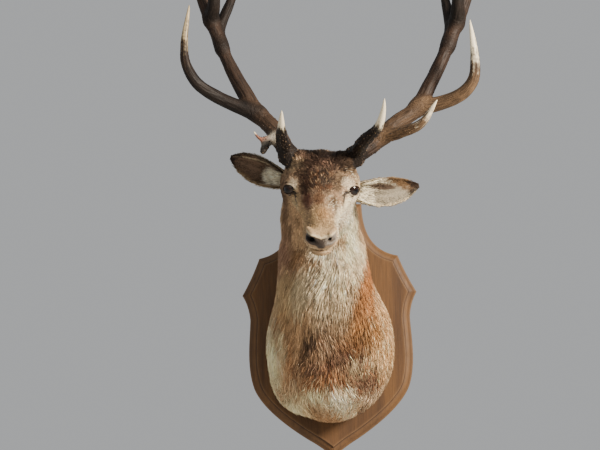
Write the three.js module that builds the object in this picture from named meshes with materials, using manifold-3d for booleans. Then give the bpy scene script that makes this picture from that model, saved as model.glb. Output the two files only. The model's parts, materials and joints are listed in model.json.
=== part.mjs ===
// A red deer stag's head and neck, mounted on an oak shield that hangs on a wall.
// Millimetres, +Z up. The wall is the plane Y = 0 and the stag looks along -Y. The origin is on the shield's
// back, on its centre line. "Left" and "right" in the names are the stag's own, so its left side is at +X.
import * as THREE from "three";
import { mergeVertices } from "three/addons/utils/BufferGeometryUtils.js";
import Module from "manifold-3d";

const wasm = await Module();
wasm.setup();

const GAP = 0.3; // clearance between two pieces that touch
const LEFT = 1;
const RIGHT = -1;

// ---------------------------------------------------------------- materials
const finish = (color, roughness, metalness = 0) =>
  new THREE.MeshStandardMaterial({ color, roughness, metalness });
const OAK = finish("#8a6a4c", 0.55);
const STEEL = finish("#9a9a98", 0.4, 1);
const COAT = finish("#b79a77", 0.95);
const COAT_PALE = finish("#cfc0a4", 0.95);
const EYE = finish("#15100c", 0.08);
const ANTLER = finish("#4a3423", 0.6);
const IVORY = finish("#d9cdb4", 0.4);

// ---------------------------------------------------------------- solids and meshes
function toSolid(geometry) {
  const bare = geometry.clone();
  for (const name of Object.keys(bare.attributes)) if (name !== "position") bare.deleteAttribute(name);
  const merged = mergeVertices(bare, 1e-3);
  const corners = Array.from(merged.index.array);
  const kept = [];
  for (let i = 0; i < corners.length; i += 3) {
    const [a, b, c] = corners.slice(i, i + 3);
    if (a !== b && b !== c && a !== c) kept.push(a, b, c);
  }
  const build = (triangles) =>
    new wasm.Manifold(
      new wasm.Mesh({
        numProp: 3,
        vertProperties: merged.attributes.position.array,
        triVerts: new Uint32Array(triangles),
      }),
    );
  const solid = build(kept);
  return solid.volume() > 0 ? solid : build(kept.reverse());
}

function toGeometry(solid) {
  const mesh = solid.getMesh();
  const points = new Float32Array(mesh.numVert * 3);
  for (let i = 0; i < mesh.numVert; i++) {
    points.set(mesh.vertProperties.subarray(i * mesh.numProp, i * mesh.numProp + 3), i * 3);
  }
  const geometry = new THREE.BufferGeometry();
  geometry.setAttribute("position", new THREE.BufferAttribute(points, 3));
  geometry.setIndex(new THREE.BufferAttribute(new Uint32Array(mesh.triVerts), 1));
  geometry.computeVertexNormals();
  return geometry;
}

const biggest = (solid) => solid.decompose().sort((a, b) => b.volume() - a.volume())[0];

const mount = new THREE.Group();
function addNode(name, solid, material) {
  const mesh = new THREE.Mesh(toGeometry(biggest(solid)), material);
  mesh.name = name;
  mount.add(mesh);
}

// A block that fills the half space on the far side of a plane, for cutting.
const UP = new THREE.Vector3(0, 0, 1);
function halfSpace(point, normal) {
  const size = 3000;
  const block = new THREE.BoxGeometry(size, size, size);
  block.translate(0, 0, size / 2);
  const turn = new THREE.Quaternion().setFromUnitVectors(UP, normal.clone().normalize());
  block.applyQuaternion(turn).translate(point.x, point.y, point.z);
  return toSolid(block);
}

// A closed form swept from the rings that ringAt(along, turn) gives, along in 0..1 and turn in 0..2 pi.
function sweep(ringAt, rings, around) {
  const form = new THREE.CylinderGeometry(1, 1, 1, around, rings);
  const place = form.attributes.position;
  const middle = (along) => {
    const sum = new THREE.Vector3();
    for (let i = 0; i < around; i++) sum.add(ringAt(along, (i / around) * 2 * Math.PI));
    return sum.divideScalar(around);
  };
  for (let i = 0; i < place.count; i++) {
    const [x, y, z] = [place.getX(i), place.getY(i), place.getZ(i)];
    const along = y + 0.5;
    const at = Math.hypot(x, z) < 0.5 ? middle(along) : ringAt(along, Math.atan2(z, x));
    place.setXYZ(i, at.x, at.y, at.z);
  }
  return toSolid(form);
}

// ---------------------------------------------------------------- oak shield
const BOARD_THICK = 26;
const MOULDING_WIDTH = 22;
// Its outline, right half, from the crest down to the point.
const CREST = [0, 326];
const HORN = [88, 300];
const SHOULDER = [177, 165];
const EAR_CORNER = [222, 71];
const WAIST = [203, 8];
const BELLY = [197, -165];
const FLANK = [60, -299];
const POINT = [0, -343];
// Its moulded edge: how far in from the outline, and how high off the wall.
const MOULDING = [
  [0, 0],
  [0, 9],
  [3, 11],
  [6, 16],
  [12, 19.6],
  [MOULDING_WIDTH - 3, 20.8],
  [MOULDING_WIDTH - 2, BOARD_THICK - 1],
  [MOULDING_WIDTH, BOARD_THICK],
];

const v2 = (pair) => new THREE.Vector2(...pair);
const flip = (pair) => [-pair[0], pair[1]];
const RIGHT_SIDES = [
  [[CREST, [42, 301], HORN]],
  [[HORN, [88, 232], [108, 178], SHOULDER]],
  [[SHOULDER, [195, 117], EAR_CORNER]],
  [
    [EAR_CORNER, [206, 44], WAIST],
    [WAIST, [205, -40], [216, -108], BELLY],
    [BELLY, [180, -212], [118, -262], FLANK],
    [FLANK, [27, -318], POINT],
  ],
];
const curveOf = (pins) =>
  pins.length === 3
    ? new THREE.QuadraticBezierCurve(...pins.map(v2))
    : new THREE.CubicBezierCurve(...pins.map(v2));
const mirrored = (side) => side.map((pins) => pins.map(flip).reverse()).reverse();
const LEFT_SIDES = RIGHT_SIDES.map(mirrored).reverse();

function inset(points, distance) {
  return points.map((p, i) => {
    const before = points[Math.max(i - 1, 0)];
    const after = points[Math.min(i + 1, points.length - 1)];
    const run = after.clone().sub(before).normalize();
    return new THREE.Vector2(p.x + run.y * distance, p.y - run.x * distance);
  });
}

// Where one side's line meets the next one's, as a place along each.
function meeting(line, next) {
  for (let i = line.length - 2; i >= 0; i--) {
    for (let j = 0; j < next.length - 1; j++) {
      const run = line[i + 1].clone().sub(line[i]);
      const other = next[j + 1].clone().sub(next[j]);
      const cross = run.cross(other);
      if (Math.abs(cross) < 1e-9) continue;
      const gap = next[j].clone().sub(line[i]);
      const s = gap.cross(other) / cross;
      const t = gap.cross(run) / cross;
      if (s >= 0 && s <= 1 && t >= 0 && t <= 1) return [i + s, j + t];
    }
  }
  return [line.length - 1, 0];
}

// The outline, drawn in by a distance, with the same number of points for every distance.
function boardRing(distance) {
  const fine = 80;
  const stepsPerSide = [4, 6, 3, 17, 17, 3, 6, 4];
  const lines = [...RIGHT_SIDES, ...LEFT_SIDES].map((side) => {
    const points = side.flatMap((pins, k) => curveOf(pins).getPoints(fine).slice(k ? 1 : 0));
    return inset(points, distance);
  });
  const ends = lines.map((line, i) => meeting(line, lines[(i + 1) % lines.length]));
  return lines.flatMap((line, i) => {
    const from = ends[(i + lines.length - 1) % lines.length][1];
    const to = ends[i][0];
    const steps = stepsPerSide[i];
    return Array.from({ length: steps }, (_, k) => {
      const at = from + ((to - from) * k) / steps;
      const whole = Math.min(Math.floor(at), line.length - 2);
      return line[whole].clone().lerp(line[whole + 1], at - whole);
    });
  });
}

function boardSolid() {
  const rings = MOULDING.map(([distance]) => boardRing(distance));
  const count = rings[0].length;
  const points = rings.flatMap((ring, k) => ring.map((p) => [p.x, -MOULDING[k][1], p.y]));
  const faces = [];
  for (let k = 0; k < rings.length - 1; k++) {
    for (let i = 0; i < count; i++) {
      const [a, b] = [k * count + i, k * count + ((i + 1) % count)];
      faces.push(a, a + count, b, b, a + count, b + count);
    }
  }
  const last = (rings.length - 1) * count;
  for (const [a, b, c] of THREE.ShapeUtils.triangulateShape(rings[0], [])) faces.push(c, b, a);
  for (const [a, b, c] of THREE.ShapeUtils.triangulateShape(rings.at(-1), [])) {
    faces.push(last + a, last + b, last + c);
  }
  const geometry = new THREE.BufferGeometry();
  geometry.setAttribute("position", new THREE.Float32BufferAttribute(points.flat(), 3));
  geometry.setIndex(faces);
  return toSolid(geometry);
}

// Three wood screws, sunk in the back, that hold the form to the board.
const SCREWS = [
  [0, 105],
  [-62, -70],
  [62, -70],
];
const SCREW_HEAD = { radius: 6, thick: 3, bore: 7, depth: 5 };
function disc(radius, thick, x, y, z) {
  return toSolid(new THREE.CylinderGeometry(radius, radius, thick, 12).translate(x, y, z));
}

let board = boardSolid();
for (const [i, [x, z]] of SCREWS.entries()) {
  board = board.subtract(disc(SCREW_HEAD.bore, SCREW_HEAD.depth * 2, x, 0, z));
  const middle = -(SCREW_HEAD.depth - GAP - SCREW_HEAD.thick / 2);
  addNode(`fixing_screw_${i + 1}`, disc(SCREW_HEAD.radius, SCREW_HEAD.thick, x, middle, z), STEEL);
}
addNode("shield", board, OAK);

// ---------------------------------------------------------------- head and neck: the coat's outer form
// The head's own frame has its origin midway between the eyes: "ahead" is to the nose, "aside" to +X and "up"
// is off the brow.
const EYES_AT = new THREE.Vector3(-19, -430, 277);
const HEAD_PITCH = THREE.MathUtils.degToRad(30);
const HEAD_ROLL = THREE.MathUtils.degToRad(2.4);
const headTurn = new THREE.Quaternion().setFromEuler(new THREE.Euler(HEAD_PITCH, HEAD_ROLL, 0, "YXZ"));
const fromHead = (ahead, aside, up) =>
  new THREE.Vector3(aside, -ahead, up).applyQuaternion(headTurn).add(EYES_AT);
const headTurnBack = headTurn.clone().invert();
function toHead(p) {
  const q = p.clone().sub(EYES_AT).applyQuaternion(headTurnBack);
  return [-q.y, q.x, q.z];
}

function softUnion(a, b, blend) {
  const h = Math.max(blend - Math.abs(a - b), 0) / blend;
  return Math.min(a, b) - (h * h * blend) / 4;
}
function ball([x, y, z], [cx, cy, cz], [rx, ry, rz]) {
  const [dx, dy, dz] = [x - cx, y - cy, z - cz];
  const near = Math.hypot(dx / rx, dy / ry, dz / rz);
  const slope = Math.hypot(dx / rx ** 2, dy / ry ** 2, dz / rz ** 2);
  return slope < 1e-9 ? -Math.min(rx, ry, rz) : (near * (near - 1)) / slope;
}
// A tapering rod whose width, across the second axis, is "wide" times its depth.
function rod([x, y, z], [ax, ay, az], ra, [bx, by, bz], rb, wide, axis) {
  const s = [1, 1, 1];
  s[axis] = 1 / wide;
  const d = [(bx - ax) * s[0], (by - ay) * s[1], (bz - az) * s[2]];
  const p = [(x - ax) * s[0], (y - ay) * s[1], (z - az) * s[2]];
  const long = d[0] ** 2 + d[1] ** 2 + d[2] ** 2;
  const t = Math.min(Math.max((p[0] * d[0] + p[1] * d[1] + p[2] * d[2]) / long, 0), 1);
  const away = Math.hypot(p[0] - t * d[0], p[1] - t * d[1], p[2] - t * d[2]);
  return (away - (ra + (rb - ra) * t)) * Math.min(1, wide);
}

// The head's masses, in its own frame, as [place, radii, blend]. Those off the centre line are on both sides.
const HEAD_BALLS = {
  cranium: [[-85, 0, -8], [72, 64, 60], 25],
  forehead: [[-32, 0, 16], [68, 60, 42], 25],
  forelock: [[-58, 0, 36], [44, 46, 24], 18],
  orbit: [[-14, 57, 8], [34, 32, 29], 16],
  pedicle: [[-74, 52, 40], [30, 27, 28], 22],
  temple: [[-62, 56, -12], [46, 26, 34], 25],
  earRoot: [[-100, 58, -26], [32, 30, 34], 22],
  cheek: [[-38, 38, -66], [58, 28, 48], 25],
  flews: [[170, 19, -46], [42, 20, 20], 18],
  nose: [[206, 0, -35], [29, 33, 25], 16],
  nostrilWing: [[214, 19, -29], [18, 15, 16], 10],
  chin: [[192, 0, -70], [24, 21, 13], 14],
};
const HEAD_RODS = {
  face: [[10, 0, -22], 58, [178, 0, -36], 33, 0.95, 22],
  jaw: [[-45, 0, -74], 46, [186, 0, -64], 15, 1.15, 20],
  cheekbone: [[52, 40, -20], 14, [-58, 62, -24], 20, 1, 24],
};

// The neck's masses, on the mount's own axes, from the throat down to the brisket.
const NECK_RODS = {
  throat: [[-25, -330, 298], 70, [-25, -262, 236], 88, 1.05, 34],
  mane: [[-25, -262, 236], 88, [-19, -215, 170], 119, 0.89, 30],
  breast: [[-19, -215, 170], 119, [-14, -172, 50], 160, 0.6, 30],
  chest: [[-14, -172, 50], 158, [-3, -128, -40], 176, 0.75, 40],
  nape: [[-23, -318, 318], 56, [-6, -60, 134], 66, 1.11, 34],
};
const BRISKET = [[-3, -108, -72], [162, 176, 186]];
// The chest hangs lower and squarer at the stag's right: a mass, its radii and its blend.
const RIGHT_FLANK = [[-72, -85, -150], [78, 95, 84], 22];

function headField(p) {
  const q = toHead(p);
  const across = [q[0], Math.abs(q[1]), q[2]];
  let d = 1e9;
  for (const [place, radii, blend] of Object.values(HEAD_BALLS)) {
    d = softUnion(d, ball(across, place, radii), blend);
  }
  for (const [from, ra, to, rb, wide, blend] of Object.values(HEAD_RODS)) {
    d = softUnion(d, rod(across, from, ra, to, rb, wide, 1), blend);
  }
  return d;
}
function neckField(p) {
  const q = [p.x, p.y, p.z];
  let d = softUnion(ball(q, BRISKET[0], BRISKET[1]), ball(q, RIGHT_FLANK[0], RIGHT_FLANK[1]), RIGHT_FLANK[2]);
  for (const [from, ra, to, rb, wide, blend] of Object.values(NECK_RODS)) {
    d = softUnion(d, rod(q, from, ra, to, rb, wide, 0), blend);
  }
  return d;
}
const coatField = (p) => softUnion(headField(p), neckField(p), 56);

// A closed skin round a spine: each point of a sphere's grid is sent out from the spine to the coat's edge.
function skinRound(spine, level, around, along, endShare, reach) {
  const form = new THREE.SphereGeometry(1, around, along);
  const place = form.attributes.position;
  const up = new THREE.Vector3();
  for (let i = 0; i < place.count; i++) {
    const [x, y, z] = [place.getX(i), place.getY(i), place.getZ(i)];
    const latitude = Math.acos(THREE.MathUtils.clamp(y, -1, 1)) / Math.PI;
    const share = THREE.MathUtils.clamp((latitude - endShare) / (1 - 2 * endShare), 0, 1);
    const lean =
      latitude < endShare
        ? Math.cos(((latitude / endShare) * Math.PI) / 2)
        : -Math.cos((Math.min((1 - latitude) / endShare, 1) * Math.PI) / 2);
    const tangent = spine.getTangentAt(share);
    const side = new THREE.Vector3(1, 0, 0).addScaledVector(tangent, -tangent.x).normalize();
    up.crossVectors(side, tangent);
    const turn = Math.atan2(z, x);
    const flat = Math.sqrt(Math.max(0, 1 - lean * lean));
    const ray = side
      .multiplyScalar(Math.cos(turn) * flat)
      .addScaledVector(up, Math.sin(turn) * flat)
      .addScaledVector(tangent, -lean);
    const start = spine.getPointAt(share);
    const at = outTo(start, ray, level, reach);
    place.setXYZ(i, at.x, at.y, at.z);
  }
  return toSolid(form);
}
function outTo(start, ray, level, reach) {
  let [near, far] = [0, reach];
  const at = new THREE.Vector3();
  for (let r = 0; r < reach; r += 6) {
    if (coatField(at.copy(start).addScaledVector(ray, r)) > level) {
      far = r;
      break;
    }
    near = r;
  }
  for (let i = 0; i < 14; i++) {
    const middle = (near + far) / 2;
    if (coatField(at.copy(start).addScaledVector(ray, middle)) > level) far = middle;
    else near = middle;
  }
  return at.copy(start).addScaledVector(ray, near);
}

const HEAD_SPINE = new THREE.LineCurve3(fromHead(-120, 0, -30), fromHead(206, 0, -42));
const NECK_SPINE = new THREE.CatmullRomCurve3([
  new THREE.Vector3(-3, 60, -60),
  new THREE.Vector3(-4, -110, -20),
  new THREE.Vector3(-12, -215, 110),
  new THREE.Vector3(-22, -305, 245),
  new THREE.Vector3(-22, -330, 300),
]);
const headSkin = (level) => skinRound(HEAD_SPINE, level, 26, 36, 0.14, 190);
const neckSkin = skinRound(NECK_SPINE, 0, 30, 27, 0.1, 330);

// The cuts that part the flesh: behind the jaw and ears, and across the neck above the brisket.
const NAPE_CUT = { at: new THREE.Vector3(-21, -350, 180), facing: new THREE.Vector3(0, -1, 0.3) };
const BRISKET_CUT = { at: new THREE.Vector3(-10, -230, 60), facing: new THREE.Vector3(0, -0.35, 1) };
const BOARD_FACE = -BOARD_THICK - GAP;
const shifted = (cut, distance) => cut.at.clone().addScaledVector(cut.facing.clone().normalize(), distance);
const back = (cut) => cut.facing.clone().negate();

const aheadOfNape = halfSpace(shifted(NAPE_CUT, GAP / 2), NAPE_CUT.facing);
const behindNape = halfSpace(shifted(NAPE_CUT, -GAP / 2), back(NAPE_CUT));
const aboveBrisket = halfSpace(shifted(BRISKET_CUT, GAP / 2), BRISKET_CUT.facing);
const belowBrisket = halfSpace(shifted(BRISKET_CUT, -GAP / 2), back(BRISKET_CUT));
const offBoard = halfSpace(new THREE.Vector3(0, BOARD_FACE, 0), new THREE.Vector3(0, -1, 0));

// Glass eyes, each in a socket behind a lens-shaped opening between its lids. The opening looks ahead and
// aside, and rises towards its inner corner.
const EYE_RADIUS = 19.5;
const EYE_DEEP = 9;
const EYE_MIDDLE = [4.9, 73.8, 1];
const EYE_LOOK = THREE.MathUtils.degToRad(40);
const OPENING = [18.5, 13, 10.5];
const OPENING_OUT = 4;
const OPENING_RISE = 0.15;
function eyeForm(side, radii, out, around, along) {
  const form = new THREE.SphereGeometry(1, around, along);
  const place = form.attributes.position;
  for (let i = 0; i < place.count; i++) {
    const across = place.getX(i) * radii[0];
    const away = place.getY(i) * radii[1] + out;
    const at = fromHead(
      EYE_MIDDLE[0] + across * Math.sin(EYE_LOOK) + away * Math.cos(EYE_LOOK),
      side * (EYE_MIDDLE[1] - across * Math.cos(EYE_LOOK) + away * Math.sin(EYE_LOOK)),
      EYE_MIDDLE[2] + place.getZ(i) * radii[2] + across * OPENING_RISE,
    );
    place.setXYZ(i, at.x, at.y, at.z);
  }
  return toSolid(form);
}
const eyeBall = (side, radius) => eyeForm(side, [radius, radius, radius], -EYE_DEEP, 12, 8);
const eyeOpening = (side) => eyeForm(side, OPENING, OPENING_OUT, 12, 7);

let head = headSkin(0).intersect(aheadOfNape);
for (const side of [LEFT, RIGHT]) {
  head = head.subtract(eyeBall(side, EYE_RADIUS + GAP)).subtract(eyeOpening(side));
}
addNode("head", head, COAT);
addNode("eye_left", eyeBall(LEFT, EYE_RADIUS), EYE);
addNode("eye_right", eyeBall(RIGHT, EYE_RADIUS), EYE);
const neckOffBoard = neckSkin.intersect(offBoard).intersect(behindNape);
addNode("neck", neckOffBoard.intersect(aboveBrisket), COAT_PALE);
addNode("brisket", neckOffBoard.intersect(belowBrisket), COAT);
const headHull = headSkin(GAP);

// ---------------------------------------------------------------- ears
// A leaf of skin rolled into a cup: the rolled width and the arc that it is rolled through change along it.
const EAR_THICK = 5;
const EAR_WIDTH = [52, 78, 90, 84, 58, 10];
const EAR_ROLL = [230, 180, 148, 128, 108, 80].map(THREE.MathUtils.degToRad);
function alongList(list, share) {
  const at = THREE.MathUtils.clamp(share, 0, 1) * (list.length - 1);
  const i = Math.min(Math.floor(at), list.length - 2);
  return THREE.MathUtils.lerp(list[i], list[i + 1], at - i);
}
function ear(root, tip, opening, bow) {
  const middle = root.clone().lerp(tip, 0.5).add(bow);
  const axis = new THREE.QuadraticBezierCurve3(root, middle, tip);
  return sweep(
    (along, turn) => {
      const tangent = axis.getTangentAt(along);
      const face = opening.clone().addScaledVector(tangent, -opening.dot(tangent)).normalize();
      const cross = new THREE.Vector3().crossVectors(face, tangent);
      const roll = alongList(EAR_ROLL, along);
      const radius = alongList(EAR_WIDTH, along) / roll;
      const outside = Math.sin(turn) >= 0;
      const across = Math.cos(turn);
      const thick = EAR_THICK * Math.sqrt(Math.max(0, 1 - across ** 4)) * (1 - 0.6 * along) + 0.8;
      const from = radius + (outside ? thick / 2 : -thick / 2);
      const angle = (across * roll) / 2;
      return axis
        .getPointAt(along)
        .addScaledVector(cross, Math.sin(angle) * from)
        .addScaledVector(face, radius - Math.cos(angle) * from);
    },
    10,
    16,
  );
}
const EARS = {
  ear_left: ear(
    fromHead(-96, 62, -38),
    new THREE.Vector3(216, -314, 298),
    new THREE.Vector3(-0.1, -1, -0.25),
    new THREE.Vector3(0, -6, -18),
  ),
  ear_right: ear(
    fromHead(-98, -64, -24),
    new THREE.Vector3(-234, -300, 380),
    new THREE.Vector3(-0.2, -1, -0.4),
    new THREE.Vector3(-6, 0, 6),
  ),
};
for (const [name, solid] of Object.entries(EARS)) addNode(name, solid.subtract(headHull), COAT);

// ---------------------------------------------------------------- antlers
// Each has a beam from the burr to the crown, and tines that grow from it: brow, bez, trez and the top three.
// Radii are to the outside of the pearling. Each tine starts at a share of its beam and ends at its tip.
const BURR_FLARE = 1.32;
function horn(curve, from, to, radiusAt, rings, sides, grown = 0) {
  return sweep(
    (along, turn) => {
      const share = from + (to - from) * along;
      const tangent = curve.getTangentAt(share);
      const first = new THREE.Vector3(0, 1, 0.2).cross(tangent).normalize();
      const second = new THREE.Vector3().crossVectors(tangent, first);
      const radius = radiusAt(share) + grown;
      return curve
        .getPointAt(share)
        .addScaledVector(first, Math.cos(turn) * radius)
        .addScaledVector(second, Math.sin(turn) * radius);
    },
    rings,
    sides,
  );
}
const beamRadius = (radii) => (share) => {
  const swell = alongList(radii, share);
  const burr = Math.exp(-(((share - 0.035) / 0.014) ** 2));
  return swell * (1 + (BURR_FLARE - 1) * burr);
};
const tineRadius = (root) => (share) => root * (1 - share ** 2.2) ** 0.8 * (1 - 0.12 * share) + 1.2;
const stumpRadius = (root) => (share) => root * (1 - 0.55 * share);
const v3 = (place) => new THREE.Vector3(...place);

const ANTLERS = {
  left: {
    beam: [
      [46, -388, 342],
      [64, -380, 362],
      [104, -366, 391],
      [161, -353, 441],
      [214, -342, 479],
      [250, -330, 541],
      [302, -312, 648],
      [343, -300, 752],
      [362, -306, 833],
    ],
    radii: [20, 21.5, 20, 20, 17.5, 16.5, 16, 17, 14.5],
    tines: {
      brow: {
        at: 0.05,
        through: [[80, -452, 381], [114, -512, 406], [125, -548, 438]],
        tip: [127, -568, 460],
        root: 15.5,
      },
      bez: { at: 0.17, through: [[165, -393, 412], [218, -440, 425]], tip: [254, -475, 473], root: 14.5 },
      trez: {
        at: 0.38,
        through: [[270, -358, 488], [322, -388, 505], [347, -408, 535], [350, -422, 576]],
        tip: [341, -430, 672],
        root: 17,
      },
      crown_inner: {
        at: 0.66,
        through: [[306, -290, 686], [300, -264, 760]],
        tip: [279, -214, 876],
        root: 13.5,
      },
      crown_front: {
        at: 0.76,
        through: [[323, -342, 743], [326, -382, 856]],
        tip: [347, -398, 1010],
        root: 14.5,
      },
      crown_back: { at: 0.965, through: [[388, -272, 890]], tip: [412, -262, 972], root: 14 },
    },
  },
  right: {
    beam: [
      [-84, -390, 346],
      [-97, -383, 374],
      [-127, -368, 432],
      [-168, -350, 479],
      [-199, -335, 535],
      [-234, -320, 608],
      [-261, -310, 679],
      [-292, -300, 770],
      [-307, -306, 847],
    ],
    radii: [20, 21.5, 20.5, 20, 17.5, 14.5, 16.5, 17, 14.5],
    tines: {
      brow: { at: 0.05, through: [[-108, -440, 393], [-108, -515, 414]], tip: [-106, -556, 440], root: 14.5 },
      bez: { at: 0.14, through: [[-141, -405, 397]], tip: [-152, -426, 371], root: 15, broken: true },
      trez: {
        at: 0.27,
        through: [[-254, -368, 511], [-306, -396, 543], [-330, -412, 586], [-333, -424, 632]],
        tip: [-319, -428, 727],
        root: 16,
      },
      crown_inner: {
        at: 0.62,
        through: [[-255, -286, 697], [-228, -262, 775]],
        tip: [-188, -216, 905],
        root: 13.5,
      },
      crown_front: {
        at: 0.76,
        through: [[-265, -345, 752], [-270, -382, 871]],
        tip: [-289, -396, 1024],
        root: 14.5,
      },
      crown_back: { at: 0.965, through: [[-342, -272, 902]], tip: [-370, -262, 986], root: 14 },
    },
  },
};
// The right bez tine was broken off and healed: a blunt stump with a thin curved splinter on it.
const SPLINTER = { through: [[-148, -410, 398], [-164, -426, 404]], tip: [-174, -432, 418], root: 4 };

function splinter(grown) {
  const [first, ...rest] = [...SPLINTER.through, SPLINTER.tip].map(v3);
  return horn(new THREE.CatmullRomCurve3([first, ...rest]), 0, 1, tineRadius(SPLINTER.root), 5, 6, grown);
}

for (const [side, antler] of Object.entries(ANTLERS)) {
  const beam = new THREE.CatmullRomCurve3(antler.beam.map(v3));
  const radius = beamRadius(antler.radii);
  const gapShare = GAP / beam.getLength();
  const fork = antler.tines.trez.at + 0.04;
  const parts = { beam_lower: [0, fork, 18], beam_upper: [fork + gapShare, 1, 12] };
  let grown = null;
  for (const [part, [from, to, rings]] of Object.entries(parts)) {
    const solid = horn(beam, from, to, radius, rings, 9);
    addNode(`antler_${side}_${part}`, solid.subtract(headHull), ANTLER);
    const larger = horn(beam, from, to, radius, rings, 9, GAP);
    grown = grown ? grown.add(larger) : larger;
  }
  for (const [name, tine] of Object.entries(antler.tines)) {
    const root = beam.getPointAt(tine.at);
    const curve = new THREE.CatmullRomCurve3([root, ...tine.through.map(v3), v3(tine.tip)]);
    const thickness = tine.broken ? stumpRadius(tine.root) : tineRadius(tine.root);
    const grow = (by) => {
      const body = horn(curve, 0, 1, thickness, 8, 7, by);
      return tine.broken ? body.add(splinter(by)) : body;
    };
    const freed = grow(0).subtract(grown).subtract(headHull);
    addNode(`antler_${side}_${name}`, freed, tine.broken ? ANTLER : IVORY);
    grown = grown.add(grow(GAP));
  }
}

export default mount;
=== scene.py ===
import json
import math

import bpy
import numpy as np
from mathutils import Matrix, Vector

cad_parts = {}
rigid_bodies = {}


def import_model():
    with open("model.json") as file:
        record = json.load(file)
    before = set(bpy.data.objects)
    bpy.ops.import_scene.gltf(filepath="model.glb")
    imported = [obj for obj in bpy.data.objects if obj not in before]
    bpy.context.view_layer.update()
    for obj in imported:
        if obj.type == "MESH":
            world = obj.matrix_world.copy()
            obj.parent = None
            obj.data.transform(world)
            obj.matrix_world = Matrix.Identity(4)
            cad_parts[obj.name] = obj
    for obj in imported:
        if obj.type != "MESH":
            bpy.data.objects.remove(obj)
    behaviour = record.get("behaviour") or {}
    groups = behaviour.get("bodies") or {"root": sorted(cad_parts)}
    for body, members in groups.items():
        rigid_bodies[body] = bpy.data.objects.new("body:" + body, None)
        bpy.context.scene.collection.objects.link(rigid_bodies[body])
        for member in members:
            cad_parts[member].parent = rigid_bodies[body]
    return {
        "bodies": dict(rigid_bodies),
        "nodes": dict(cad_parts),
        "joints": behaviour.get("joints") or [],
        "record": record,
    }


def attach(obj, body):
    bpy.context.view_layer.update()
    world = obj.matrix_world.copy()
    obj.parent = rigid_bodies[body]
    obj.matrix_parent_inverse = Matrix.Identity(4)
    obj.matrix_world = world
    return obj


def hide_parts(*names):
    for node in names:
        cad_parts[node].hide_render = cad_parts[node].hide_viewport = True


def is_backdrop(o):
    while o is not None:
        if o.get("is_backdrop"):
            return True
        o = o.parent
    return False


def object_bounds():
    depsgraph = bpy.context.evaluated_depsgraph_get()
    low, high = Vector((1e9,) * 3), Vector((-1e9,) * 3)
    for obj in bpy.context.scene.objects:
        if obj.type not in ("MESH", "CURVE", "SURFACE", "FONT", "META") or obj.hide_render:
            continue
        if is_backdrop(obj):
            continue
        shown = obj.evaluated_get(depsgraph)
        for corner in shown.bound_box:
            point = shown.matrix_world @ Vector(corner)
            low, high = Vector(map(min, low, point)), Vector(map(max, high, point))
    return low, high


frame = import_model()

cad_low, cad_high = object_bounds()

# ---------------------------------------------------------------- oak shield
# The mount's board: one slab of oak, stained brown and varnished, with a moulded edge that is mitred at every
# corner. The stag is bolted to its face, and its flat back lies against the wall.
MM = 0.001
BOARD_THICK = 26
CREST, HORN, SHOULDER, EAR_CORNER = (0, 326), (88, 300), (177, 165), (222, 71)
WAIST, BELLY, FLANK, POINT = (203, 8), (197, -165), (60, -299), (0, -343)
BOARD_SIDES = [
    [(CREST, (42, 301), HORN)],
    [(HORN, (88, 232), (108, 178), SHOULDER)],
    [(SHOULDER, (195, 117), EAR_CORNER)],
    [
        (EAR_CORNER, (206, 44), WAIST),
        (WAIST, (205, -40), (216, -108), BELLY),
        (BELLY, (180, -212), (118, -262), FLANK),
        (FLANK, (27, -318), POINT),
    ],
]
# The moulding: how far in from the outline, how high off the wall, how worn, and how much darker it is in its
# hollows.
MOULDING = [
    (1.2, 0.0, 0.2, 0.6),
    (0.0, 1.2, 0.2, 0.5),
    (0.0, 8.0, 0.5, 0.2),
    (0.5, 9.6, 1.0, 0.0),
    (1.6, 10.6, 0.9, 0.0),
    (3.6, 12.0, 0.35, 0.1),
    (6.0, 14.6, 0.2, 0.1),
    (9.0, 17.4, 0.25, 0.0),
    (12.5, 19.4, 0.4, 0.0),
    (16.0, 20.5, 0.45, 0.1),
    (18.6, 20.9, 0.2, 0.9),
    (19.0, 21.4, 0.0, 1.0),
    (19.2, 24.4, 0.2, 0.7),
    (19.8, 25.6, 1.0, 0.0),
    (21.0, 26.0, 0.7, 0.0),
    (25.0, 26.0, 0.0, 0.0),
]


def linear(code):
    """The linear colour that a code such as #735739 stands for."""
    channels = [int(code[i : i + 2], 16) / 255 for i in (1, 3, 5)]
    return tuple(c / 12.92 if c <= 0.04045 else ((c + 0.055) / 1.055) ** 2.4 for c in channels) + (1.0,)


def node(tree, kind, inputs=None, ramp=None, **settings):
    """A new node, with each of its inputs linked to a socket or set to a value."""
    made = tree.nodes.new(kind)
    for name, value in settings.items():
        setattr(made, name, value)
    for key, value in (inputs or {}).items():
        if isinstance(value, bpy.types.NodeSocket):
            tree.links.new(value, made.inputs[key])
        else:
            made.inputs[key].default_value = value
    for i, (place, colour) in enumerate(ramp or []):
        stop = made.color_ramp.elements[i] if i < 2 else made.color_ramp.elements.new(place)
        stop.position = place
        stop.color = colour
    return made


def mixed(tree, share, colour, other, blend="MIX"):
    inputs = {0: share, 6: colour, 7: other}
    return node(tree, "ShaderNodeMix", inputs, data_type="RGBA", blend_type=blend).outputs[2]


def noise(tree, where, scale, detail, **more):
    inputs = {"Vector": where, "Scale": scale, "Detail": detail, **more}
    return node(tree, "ShaderNodeTexNoise", inputs).outputs[0]


def ranged(tree, value, low, high, start=0.0, end=1.0):
    """A value turned into one from low to high, as it goes from its start to its end."""
    return node(tree, "ShaderNodeMapRange", {"Value": value, 1: start, 2: end, 3: low, 4: high}).outputs[0]


def stored(tree, name, kind="Fac"):
    return node(tree, "ShaderNodeAttribute", attribute_name=name).outputs[kind]


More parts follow.
